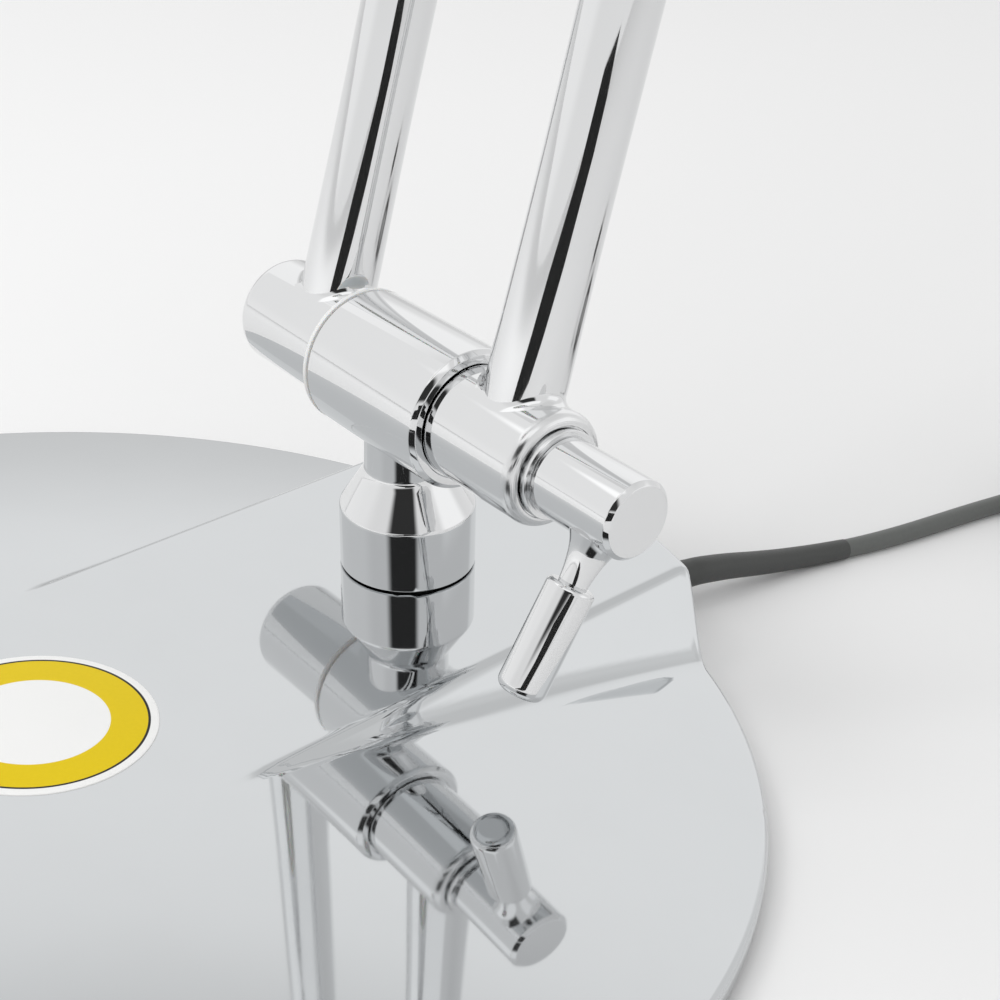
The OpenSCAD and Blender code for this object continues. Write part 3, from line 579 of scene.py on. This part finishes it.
def smooth_line(points, steps):
    """A smooth curve through points, with so many short steps between each two."""
    p = [Vector(q) for q in points]
    p = [2 * p[0] - p[1]] + p + [2 * p[-1] - p[-2]]
    line = []
    for a, b, c, d in zip(p, p[1:], p[2:], p[3:]):
        for k in range(steps):
            t = k / steps
            line.append(0.5 * (2 * b + (c - a) * t + (2 * a - 5 * b + 4 * c - d) * t * t
                               + (3 * b - a - 3 * c + d) * t ** 3))
    return line + [p[-2]]


def cord_route():
    """The cord's whole line of points, and the point where it enters the plug."""
    turns = COIL_LAYERS * (COIL_TURNS + CLIMB) - CLIMB
    wound = [coil_point(i / COIL_STEPS) for i in range(round(turns * COIL_STEPS) + 1)]
    end = wound[-1] - Vector((0, CORD_D, 0))
    tail = [end + Vector(q) for q in TAIL]
    return smooth_line(RUN, 4) + wound + smooth_line(tail, 4)[1:], tail[-1]


def sleeve(bm, line, radii, sides=40):
    """A tube of changing radius along a line of points, open at both ends."""
    rings = []
    for i, (at, r) in enumerate(zip(line, radii)):
        ahead = (line[min(i + 1, len(line) - 1)] - line[max(i - 1, 0)]).normalized()
        across = ahead.cross(Vector((0, 0, 1))).normalized()
        up = across.cross(ahead)
        rings.append([bm.verts.new((at + (across * math.cos(a) + up * math.sin(a)) * r) * MM)
                      for a in (2 * math.pi * k / sides for k in range(sides))])
    for one, two in zip(rings, rings[1:]):
        for k in range(sides):
            n = (k + 1) % sides
            bm.faces.new((one[k], one[n], two[n], two[k]))


class LAMP_OT_cord(Step):
    """Lays the cord, its coil and strap, and the plug at its end"""
    bl_idname = "lamp.cord"
    bl_label = "Cord and plug"

    def execute(self, context):
        sizes = sized()[0]
        route, end = cord_route()
        data = bpy.data.curves.new("cord", "CURVE")
        data.dimensions = "3D"
        line = data.splines.new("POLY")
        line.points.add(len(route) - 1)
        for point, at in zip(line.points, route):
            point.co = (*(at * MM), 1)
        data.bevel_depth = sizes.cord_diameter / 2
        data.bevel_resolution = 5
        data.use_fill_caps = True
        data.materials.append(finish("cord sheath"))
        cord = bpy.data.objects.new("cord", data)
        context.scene.collection.objects.link(cord)
        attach(cord, "base")
        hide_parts("cord_run", "cord_coil", "cord_tail")

        at = move(end[0], end[1] + 0.1, end[2]) @ turn("X", -90)
        bm = bmesh.new()
        r0, r1, length = CORD_D / 2 + 0.6, CORD_D / 2 + 2, 20
        corners = [(CORD_D / 2 - 0.2, 0), (r0, 0, 0.4)]
        for k in range(5):
            z = 3 + k * 3.4
            r = r0 + (r1 - r0) * z / length
            corners += [(r, z, 0.3), (r - 0.9, z + 0.3, 0.3), (r - 0.9, z + 1.3, 0.3),
                        (r + 0.1, z + 1.6, 0.3)]
        corners += [(r1, length - 0.4, 0.3), (r1, length), (0, length)]
        spun(bm, rounded(corners, 3), at, 48)
        relief = piece("plug_strain_relief", bm, "plug plastic", "base", "dark_plug_plastic",
                       "plug_relief")

        bm = bmesh.new()
        got = bmesh.ops.create_circle(bm, cap_ends=True, segments=64, radius=1)
        half_w, half_t = 17.5, end[2] - 0.05
        for v in got["verts"]:
            side = math.copysign(half_w - half_t, v.co.x)
            v.co = Vector(((v.co.x * half_t + side) * MM, v.co.y * half_t * MM, length * MM))
        face = bm.faces[:]
        levels = [(0.86, 0.0), (0.94, 1.2), (1.0, 3.2), (1.0, 9), (0.97, 11), (0.97, 17), (1.0, 19),
                  (1.0, 26.6), (0.985, 27.5), (0.95, 28)]
        for v in got["verts"]:
            v.co.x *= levels[0][0]
            v.co.y *= levels[0][0]
        for (s0, z0), (s1, z1) in zip(levels, levels[1:]):
            fresh = bmesh.ops.extrude_face_region(bm, geom=face)
            verts = [g for g in fresh["geom"] if isinstance(g, bmesh.types.BMVert)]
            if z0 > 0:
                bmesh.ops.delete(bm, geom=face, context="FACES_ONLY")
            face = [g for g in fresh["geom"] if isinstance(g, bmesh.types.BMFace)]
            for v in verts:
                v.co.x *= s1 / s0
                v.co.y *= s1 / s0
                v.co.z = (length + z1) * MM
        bmesh.ops.transform(bm, matrix=at, verts=bm.verts)
        body = piece("plug_housing", bm, "plug plastic", "base", "dark_plug_plastic", "plug_body",
                     sharp=50)

        bm = bmesh.new()
        for x in (-9.5, 9.5):
            spun(bm, rounded([(0, 27.9), (2, 27.9), (2, 46.2, 1.0), (1.1, 47, 0.7), (0, 47)], 4),
                 at @ move(x, 0, length), 32)
        pins = piece("plug_prongs", bm, "bright nickel", "base", "pin_nickel", "plug_pins")

        strap = softened("coil_strap", "cord_tie", 0.25, "woven strap", "base")
        # The coil and plug are put away outside the view, so the chrome doesn't mirror them
        for one in (cord, strap, relief, body, pins):
            one.visible_glossy = False

        bm = bmesh.new()
        bore = CORD_D / 2
        spun(bm, rounded([(bore, -9), (3.3, -9), (3.3, -1.45), (2.98, -1.45), (2.98, 0.2),
                          (3.25, 0.3, 0.1), (3.2, 0.7, 0.2), (2.95, 0.9, 0.2), (2.9, 2), (bore, 2),
                          (bore, -9)], 3), AT_EXIT, 48)
        gone = [AT_EXIT @ Vector((0, 0, z * MM)) / MM for z in (1.5, 5, 9, 13)]
        line = smooth_line([tuple(q) for q in gone] + RUN[:6], 4)
        far = [(q - line[0]).length for q in line]
        radii = [2.92 - 0.87 * d / far[-1] for d in far]
        sleeve(bm, [line[0], line[0]] + line + [line[-1]], [bore, 2.75] + radii + [bore - 0.1])
        piece("cord_strain_relief", bm, "plug plastic", "base", "dark_plug_plastic", "cord_gland")
        return {"FINISHED"}


def crown_height(r):
    """Height of the base's crown at a radius, without the strip."""
    drop = CROWN_RISE / (BASE_R ** 2 - CROWN_FLAT_R ** 2)
    return RIM_H + (CROWN_RISE if r < CROWN_FLAT_R else (BASE_R ** 2 - r * r) * drop)


def soft_top(a, b, k):
    """The higher of two heights, blended over a band of k."""
    near = max(k - abs(a - b), 0) / k
    return max(a, b) + near ** 3 * k / 6


def cover_height(x, y, edge, foot):
    """Height of the base's cover above the table, in millimetres."""
    crown = crown_height(math.hypot(x, y))
    top = STRIP_Z + (y - POST_Y) * math.tan(math.radians(STRIP_TILT))
    wall = top - (abs(x) - 33.5) / 0.6
    strip = -soft_top(-top, -wall, edge)
    grow = min(max((y - 8) / 55, 0), 1)
    grow = grow * grow * (3 - 2 * grow)
    return soft_top(crown, strip, 0.15 + (foot - 0.15) * grow)


class LAMP_OT_base(Step):
    """Presses the base's cover with its raised strip, and lays the label on it"""
    bl_idname = "lamp.base"
    bl_label = "Base cover and label"

    def execute(self, context):
        sizes = sized()[0]
        edge, foot = sizes.strip_edge / MM, sizes.strip_foot / MM
        soft = sizes.rim_round / MM
        bm = bmesh.new()
        inner = BASE_R - soft
        ring = bmesh.ops.create_circle(bm, cap_ends=True, segments=288, radius=inner)["verts"]
        cuts = [("x", s * (27 + 0.7 * i)) for i in range(36) for s in (-1, 1)]
        cuts += [("x", 3.0 * i) for i in range(-8, 9)]
        cuts += [("x", s * (55 + 3 * i)) for i in range(19) for s in (-1, 1)]
        cuts += [("y", -110 + 2.2 * i) for i in range(100)]
        for axis, at in cuts:
            normal = (1, 0, 0) if axis == "x" else (0, 1, 0)
            bmesh.ops.bisect_plane(bm, geom=bm.verts[:] + bm.edges[:] + bm.faces[:], dist=1e-5,
                                   plane_co=[n * at for n in normal], plane_no=normal)
        hole = AT_STRIP.to_translation() / MM
        bmesh.ops.delete(bm, context="FACES", geom=[
            f for f in bm.faces if (f.calc_center_median() - Vector((0, hole[1], 0))).length < 8.6])
        rim = [e for e in bm.edges if e.is_boundary and e.verts[0].co.length > inner * 0.999
               and e.verts[1].co.length > inner * 0.999]
        for v in bm.verts:
            v.co.z = cover_height(v.co.x, v.co.y, edge, foot)
        loop = rim
        tops = {}
        for k in range(1, 18):
            got = bmesh.ops.extrude_edge_only(bm, edges=loop)["geom"]
            verts = [g for g in got if isinstance(g, bmesh.types.BMVert)]
            loop = [g for g in got if isinstance(g, bmesh.types.BMEdge)
                    and all(v in set(verts) for v in g.verts)]
            for v in verts:
                a = math.atan2(v.co.y, v.co.x)
                key = round(a, 6)
                top = tops.setdefault(key, v.co.z)
                if k <= 8:
                    bend = math.radians(90 * k / 8)
                    out = inner + soft * math.sin(bend)
                    z = top - soft * (1 - math.cos(bend))
                else:
                    out = BASE_R
                    share = (k - 8) / 9
                    z = (top - soft) * (1 - share) + 1.5 * share
                v.co = Vector((out * math.cos(a), out * math.sin(a), z))
        for v in bm.verts:
            v.co *= MM
        cover = piece("base_shell", bm, "base chrome", "base", "polished_chrome", "base_cover",
                      sharp=60, thick=sizes.cover_wall)

        bm = bmesh.new()
        r = sizes.label_diameter / 2 / MM
        spun(bm, rounded([(0, 10.5), (r - 0.05, 10.5), (r, 10.6, 0.1), (r - 0.1, 10.78, 0.1),
                          (r - 0.5, 10.8), (0, 10.8)], 3), move(LABEL_X, LABEL_Y, 0), 128)
        label = piece("round_label", bm, "label film", "base", "label_film", "plain_label")
        label.visible_glossy = False
        return {"FINISHED"}


class LAMP_OT_post(Step):
    """Turns the swivelling post and its barrel"""
    bl_idname = "lamp.post"
    bl_label = "Post"

    def execute(self, context):
        bm = bmesh.new()
        spun(bm, rounded([(0, 0.3), (11.8, 0.3), (12, 0.5, 0.1), (12, 11.8, 0.5), (7.9, 18.3, 0.6),
                          (7.5, 19.3, 0.5), (7.5, 34.9), (0, 34.9)]), AT_POST, 128)
        spun(bm, rounded([(5.5, -15), (11.7, -15, 0.1), (12.25, -14.3, 0.2), (12.25, 14.2, 0.2),
                          (11.4, 15, 0.12), (10.2, 15, 0.06), (10.05, 14.9), (10.05, 14.6),
                          (5.5, 14.6), (5.5, -15)]), AT_SHOULDER @ ALONG_X, 128)
        piece("post_body", bm, "chrome", "post", "polished_chrome", "post")
        return {"FINISHED"}


KNUCKLE_R = 9.75
TUBE_R = 6.25
ROOT_R = 6.6


def weld(bm, at):
    """The weld round a tube's root: a thin fillet along the line where it meets the knuckle."""
    loops = []
    for k in range(96):
        a = 2 * math.pi * k / 96
        leg = 0.8 + 1.1 * math.cos(a) ** 2 + 0.12 * math.sin(5 * a) * math.sin(3 * a + 1)

        def skin(r):
            return math.sqrt(KNUCKLE_R ** 2 - (r * math.sin(a)) ** 2)

        foot = Vector((ROOT_R + leg, skin(ROOT_R + leg) - 0.06))
        corner = Vector((ROOT_R + 0.12, skin(ROOT_R) + 0.12))
        top = Vector((ROOT_R - 0.02, skin(ROOT_R) + leg))
        line = [foot * (1 - t) ** 2 + corner * 2 * t * (1 - t) + top * t * t
                for t in (i / 7 for i in range(8))]
        line += [Vector((ROOT_R - 0.5, top.y)), Vector((ROOT_R - 0.5, foot.y - 0.6))]
        loops.append([bm.verts.new(at @ (Vector((q.x * math.cos(a), q.x * math.sin(a), q.y)) * MM))
                      for q in line])
    for one, two in zip(loops, loops[1:] + loops[:1]):
        for i in range(len(one)):
            j = (i + 1) % len(one)
            bm.faces.new((one[i], two[i], two[j], one[j]))


class LAMP_OT_lower_arm(Step):
    """Builds the lower arm: knuckles, tubes with their welds, and end washers"""
    bl_idname = "lamp.lower_arm"
    bl_label = "Lower arm"

    def execute(self, context):
        soft = 1.9
        edge = [(KNUCKLE_R - soft * (1 - math.cos(math.radians(9 * i))),
                 KNUCKLE_OUT - 2.45 + soft * math.sin(math.radians(9 * i))) for i in range(11)]
        for place, at, stand in (("shoulder", AT_LOWER, Matrix()),
                                 ("elbow", AT_ELBOW, turn("X", 180))):
            nose = 14.75 if place == "shoulder" else KNUCKLE_IN - 0.01
            face = [(4.02, KNUCKLE_IN), (9.35, KNUCKLE_IN), (9.35, nose), (9.6, nose),
                    (KNUCKLE_R, nose + 0.2), edge[0]]
            end = [edge[-1], (7.7, KNUCKLE_OUT - 0.7), (6.9, KNUCKLE_OUT - 0.7), (6.9, KNUCKLE_OUT),
                   (4.02, KNUCKLE_OUT), (4.02, KNUCKLE_IN)]
            left = rounded([(0, KNUCKLE_END), (8.3, KNUCKLE_END, 0.7),
                            (KNUCKLE_R, KNUCKLE_END + 1.5, 1.0),
                            (KNUCKLE_R, -KNUCKLE_IN - 0.4, 0.3), (9.35, -KNUCKLE_IN),
                            (4.02, -KNUCKLE_IN), (4.02, KNUCKLE_END + 3), (0, KNUCKLE_END + 3)])
            for hand, side, lines in (("left", -1, ((left, 0),)),
                                      ("right", 1, ((edge, 1), (face, 0), (end, 0)))):
                bm = bmesh.new()
                for line, index in lines:
                    spun(bm, line, at @ ALONG_X, 128, index)
                weld(bm, at @ move(LOWER_X[side], 0, 0) @ stand)
                piece(f"{place}_knuckle_{hand}_turned", bm, ["chrome", "turned chrome"],
                      "lower_arm", "polished_chrome", f"{place}_knuckle_{hand}")
            bm = bmesh.new()
            near, far = KNUCKLE_OUT - 0.4, KNUCKLE_OUT + WASHER
            spun(bm, rounded([(3.05, near), (7.4, near), (7.55, near + 0.15, 0.1),
                              (7.55, far - 0.15, 0.1), (7.4, far), (3.05, far), (3.05, near)], 3),
                 at @ ALONG_X, 128)
            piece(f"{place}_end_washer", bm, "turned chrome", "lower_arm", "polished_chrome",
                  *(("end_washers",) if place == "shoulder" else ()))
        for hand, side in (("left", -1), ("right", 1)):
            bm = bmesh.new()
            half = [(ROOT_R, 5.55), (ROOT_R, 13), (6.5, 20), (6.4, 28), (6.31, 36), (TUBE_R, 46)]
            far = [(r, LOWER_LEN - z) for r, z in reversed(half)]
            spun(bm, [(5, 5.55)] + half + [(TUBE_R, 46 + 26 * i) for i in range(1, 8)] + far
                 + [(5, LOWER_LEN - 5.55), (5, 5.55)], AT_LOWER @ move(LOWER_X[side], 0, 0), 128)
            piece(f"lower_arm_tube_{hand}", bm, "chrome", "lower_arm", "polished_chrome",
                  f"lower_tube_{hand}")
        return {"FINISHED"}


class LAMP_OT_levers(Step):
    """Turns the two clamp levers"""
    bl_idname = "lamp.levers"
    bl_label = "Clamp levers"

    def execute(self, context):
        for name, at in (("shoulder", AT_SHOULDER_LEVER), ("elbow", AT_ELBOW_LEVER)):
            body = f"{name}_lever"
            bm = bmesh.new()
            spun(bm, rounded([(3.05, HUB_IN), (6.45, HUB_IN), (6.6, HUB_IN + 0.2, 0.1),
                              (6.6, HUB_OUT - 0.85, 0.12), (5.85, HUB_OUT - 0.12, 0.12),
                              (3.5, HUB_OUT - 0.02), (0, HUB_OUT), (0, HUB_OUT - 4),
                              (3.05, HUB_OUT - 4), (3.05, HUB_IN)]), at @ ALONG_X, 96)
            piece(f"{body}_hub_turned", bm, "chrome", body, "polished_chrome", f"{body}_hub")
            stem = at @ move(LEVER_X, 0, 0) @ turn("X", 180)
            bm = bmesh.new()
            spun(bm, rounded([(0, 3.7), (2.2, 3.7), (2.3, 5.0), (4.4, 5.6), (3.6, 7.0, 0.9),
                              (3.0, 8.8, 1.2), (2.5, 11.5, 1.5), (2.3, 14), (2.3, 22), (0, 22)]),
                 stem, 64)
            piece(f"{body}_stem_turned", bm, "chrome", body, "polished_chrome", f"{body}_stem")
            bm = bmesh.new()
            spun(bm, rounded([(2.32, 22.4), (2.32, 13.3), (3.4, 13.3, 0.15), (4, 13.8, 0.4),
                              (4, 31.1, 0.8), (3.3, 32.0, 0.5), (2.2, 32.2, 0.4), (0, 32.2),
                              (0, 22.4), (2.32, 22.4)]), stem, 64)
            piece(f"{body}_grip_turned", bm, "chrome", body, "polished_chrome", f"{body}_grip")
        return {"FINISHED"}


class LAMP_OT_upper_arm(Step):
    """Builds the upper arm: elbow barrel, tubes and head barrel"""
    bl_idname = "lamp.upper_arm"
    bl_label = "Upper arm"

    def execute(self, context):
        bm = bmesh.new()
        spun(bm, rounded([(5.5, -15), (9.9, -15, 0.2), (10.5, -14.4, 0.4), (10.5, 14.4, 0.4),
                          (9.9, 15, 0.2), (5.5, 15), (5.5, -15)]), AT_UPPER @ ALONG_X, 128)
        piece("elbow_barrel_turned", bm, "chrome", "upper_arm", "polished_chrome", "elbow_barrel")
        bm = bmesh.new()
        spun(bm, rounded([(3.05, -15), (8.4, -15, 0.2), (9, -14.4, 0.4), (9, 14.4, 0.4),
                          (8.4, 15, 0.2), (3.05, 15), (3.05, -15)]), AT_TILT @ ALONG_X, 128)
        piece("head_barrel_turned", bm, "chrome", "upper_arm", "polished_chrome", "head_barrel")
        for hand, side in (("left", -1), ("right", 1)):
            bm = bmesh.new()
            spun(bm, [(4, 6.55), (5, 6.55)] + [(5, 12 + 26 * i) for i in range(11)]
                 + [(5, UPPER_LEN - 5.05), (4, UPPER_LEN - 5.05), (4, 6.55)],
                 AT_UPPER @ move(side * UPPER_X, 0, 0), 96)
            piece(f"upper_arm_tube_{hand}", bm, "chrome", "upper_arm", "polished_chrome",
                  f"upper_tube_{hand}")
        return {"FINISHED"}


WEB_LOW = -26.5
CAP_LOW = WEB_LOW - 33


class LAMP_OT_head(Step):
    """Builds the head: bracket, nut, cap, shade and bulb"""
    bl_idname = "lamp.head"
    bl_label = "Head"

    def execute(self, context):
        softened("tilt_bracket", "head_bracket", 0.5, "chrome", "head")
        bm = bmesh.new()
        out = 18.35
        line = rounded([(3.02, out), (6.4, out, 0.2), (7, out + 0.5, 0.3), (7, out + 7.9, 0.5),
                        (5.6, out + 9.5, 0.6), (0, out + 9.5), (0, out + 8.2), (3.02, out + 8.2),
                        (3.02, out)])
        faces = spun(bm, line, Matrix(), 96)
        for v in {v for f in faces for v in f.verts}:
            r = math.hypot(v.co.x, v.co.y) / MM
            if r > 6.95:
                a = math.atan2(v.co.y, v.co.x)
                cut = 1 - 0.045 * (0.5 + 0.5 * math.cos(a * 32))
                v.co.x *= cut
                v.co.y *= cut
        bmesh.ops.transform(bm, matrix=AT_HEAD @ ALONG_X, verts=bm.verts)
        piece("tilt_knob", bm, "chrome", "head", "polished_chrome", "tilt_nut")
        softened("vented_cap", "shade_cap", 0.25, "chrome", "head", 2)

        top_r, wide = 24.7, 78.0
        def at(i, off, n=40):
            a = math.pi / 2 * i / n
            return (top_r + (wide - off - top_r) * math.sin(a),
                    CAP_LOW - off - (96 - off) * (1 - math.cos(a)))
        low = CAP_LOW - 104
        outer = [(top_r - 2, CAP_LOW)] + [at(i, 0) for i in range(41)]
        outer += [(wide, low + 2.4), (wide + 0.5, low + 1.9), (wide + 0.95, low + 1.3),
                  (wide + 1, low + 0.7), (wide + 0.8, low + 0.25), (wide + 0.3, low)]
        inner = [(wide + 0.3, low), (wide - 0.7, low), (wide - 1, low + 0.4)]
        inner += [at(i, 1) for i in range(40, -1, -1)] + [(top_r - 2, CAP_LOW - 1),
                                                           (top_r - 2, CAP_LOW)]
        bm = bmesh.new()
        spun(bm, outer, AT_HEAD, 160, 0)
        spun(bm, inner, AT_HEAD, 160, 1)
        piece("bell_shade", bm, ["chrome", "white enamel"], "head", "shade_chrome", "shade")

        bulb_top = -82.5
        mid = bulb_top - 38
        ball = [(13.0, bulb_top), (13.4, bulb_top - 1.5), (15.2, bulb_top - 6),
                (19.0, bulb_top - 12), (23.6, bulb_top - 19)]
        bulb_r = 30
        start = math.atan2(bulb_top - 19 - mid, 23.6)
        turns = [start + (-math.pi / 2 - start) * k / 24 for k in range(1, 25)]
        ball += [(bulb_r * math.cos(a), mid + bulb_r * math.sin(a)) for a in turns]
        ball[-1] = (0, mid - bulb_r)
        bm = bmesh.new()
        spun(bm, [(0, bulb_top)] + ball + [(0, bulb_top)], AT_HEAD, 96)
        piece("bulb", bm, "opal glass", "head", "opal_glass", "bulb_glass")
        return {"FINISHED"}


class LAMP_OT_stage(Step):
    """Sets the pale floor and the soft light of the studio"""
    bl_idname = "lamp.stage"
    bl_label = "Stage"

    def execute(self, context):
        studio = sized()[2]
        bm = bmesh.new()
        bmesh.ops.create_grid(bm, x_segments=4, y_segments=4, size=4)
        mesh = bpy.data.meshes.new("floor")
        bm.to_mesh(mesh)
        bm.free()
        paper = Finish("floor paper", studio.floor, roughness=0.6)
        mesh.materials.append(paper.material)
        floor = bpy.data.objects.new("floor", mesh)
        context.scene.collection.objects.link(floor)

        # A dark card, curved round the lamp in front, that only the mirror finishes see
        bm = bmesh.new()
        rows = []
        reach, parts = 420, 12
        for height, left, right in ((0, -78, -44), (30, -70, -27), (60, -62, -22), (83, -49, -24),
                                    (120, -49, -34)):
            turns = [math.radians(left + (right - left) * k / parts) for k in range(parts + 1)]
            rows.append([bm.verts.new(Vector((30 + reach * math.cos(a), 70 + reach * math.sin(a),
                                              height)) * MM) for a in turns])
        for low, high in zip(rows, rows[1:]):
            for k in range(parts):
                bm.faces.new((low[k], low[k + 1], high[k + 1], high[k]))
        mesh = bpy.data.meshes.new("dark_card")
        bm.to_mesh(mesh)
        bm.free()
        mesh.materials.append(Finish("dark card", (0.012, 0.012, 0.012), roughness=0.9).material)
        card = bpy.data.objects.new("dark_card", mesh)
        context.scene.collection.objects.link(card)
        for ray in ("camera", "diffuse", "shadow", "transmission"):
            setattr(card, "visible_" + ray, False)

        world = bpy.data.worlds.new("studio")
        world.use_nodes = True
        context.scene.world = world
        net = Net(world.node_tree, "Generated")
        x, y, z = net.parts()
        side = x.maths("ARCTAN2", y, x) * (180 / math.pi)
        height = z.maths("ARCSINE", z) * (180 / math.pi)

        # What the mirror finishes see: a pale room with broad brighter and darker parts
        def band(angle, rise, fall):
            """1 within a range of angles in degrees, with soft ends."""
            return angle.between(*rise) * (1 - angle.between(*fall))

        left_wall = 1 - side.between(-120, -95)
        low_glow = 1 - height.between(0, 14)
        high_right = height.between(38, 50) * side.between(10, 40)
        back_wall = side.between(85, 100) * band(height, (4, 12), (44, 54))
        back_left = side.between(120, 142) * (1 - height.between(12, 24))
        right_wall = band(side, (12, 26), (56, 72)) * band(height, (4, 10), (27, 36))
        ceiling_box = band(side, (-165, -155), (-8, 2)) * band(height, (42, 47), (64, 70))
        dark_front = band(side, (-78, -66), (-31, -21)) * band(height, (10, 16), (36, 44))
        room = 0.86 + 0.10 * left_wall + 0.04 * low_glow - 0.08 * high_right
        room = room + 0.22 * back_wall - 0.26 * back_left + 0.26 * right_wall
        room = (room + 0.32 * ceiling_box) * (1 - 0.96 * dark_front)
        seen = net.tree.nodes.new("ShaderNodeLightPath")
        mirrored = Socket(net, seen.outputs["Is Glossy Ray"])
        light = net.tree.nodes.new("ShaderNodeBackground")
        net.plug(light.inputs[0], (1.0, 1.0, 1.0))
        net.plug(light.inputs[1], mirrored * room + (1 - mirrored) * studio.sky)
        out = net.tree.nodes.new("ShaderNodeOutputWorld")
        net.tree.links.new(light.outputs[0], out.inputs[0])

        lamp = bpy.data.lights.new("soft_box", "AREA")
        lamp.shape = "DISK"
        lamp.size = 0.9
        lamp.energy = studio.key
        box = bpy.data.objects.new("soft_box", lamp)
        aim = Vector((math.cos(math.radians(-100)), math.sin(math.radians(-100)), 1.3)).normalized()
        facing = aim.to_track_quat("Z", "Y").to_matrix().to_4x4()
        box.matrix_world = Matrix.Translation(aim * 1.4) @ facing
        box.visible_glossy = False
        context.scene.collection.objects.link(box)
        context.scene.view_settings.view_transform = "Standard"
        return {"FINISHED"}


class LAMP_PT_panel(bpy.types.Panel):
    """Lists the lamp's steps and its sizes, finishes and studio"""
    bl_idname = "LAMP_PT_panel"
    bl_label = "Desk Lamp"
    bl_space_type = "VIEW_3D"
    bl_region_type = "UI"
    bl_category = "Lamp"

    def draw(self, context):
        for step in STEPS:
            self.layout.operator(step.bl_idname)
        for group in (context.scene.lamp_sizes, context.scene.lamp_finishes,
                      context.scene.lamp_studio):
            for key in group.bl_rna.properties.keys():
                if key not in ("rna_type", "name"):
                    self.layout.prop(group, key)


STEPS = (LAMP_OT_camera, LAMP_OT_finishes, LAMP_OT_cord, LAMP_OT_base, LAMP_OT_post,
         LAMP_OT_lower_arm, LAMP_OT_levers, LAMP_OT_upper_arm, LAMP_OT_head, LAMP_OT_stage)
CLASSES = (LampSizes, LampFinishes, LampStudio, *STEPS, LAMP_PT_panel)


def register():
    for cls in CLASSES:
        bpy.utils.register_class(cls)
    bpy.types.Scene.lamp_sizes = bpy.props.PointerProperty(type=LampSizes)
    bpy.types.Scene.lamp_finishes = bpy.props.PointerProperty(type=LampFinishes)
    bpy.types.Scene.lamp_studio = bpy.props.PointerProperty(type=LampStudio)


def unregister():
    del bpy.types.Scene.lamp_studio
    del bpy.types.Scene.lamp_finishes
    del bpy.types.Scene.lamp_sizes
    for cls in reversed(CLASSES):
        bpy.utils.unregister_class(cls)


def main():
    register()
    for step in STEPS:
        group, name = step.bl_idname.split(".")
        getattr(getattr(bpy.ops, group), name)()


if __name__ == "__main__":
    main()
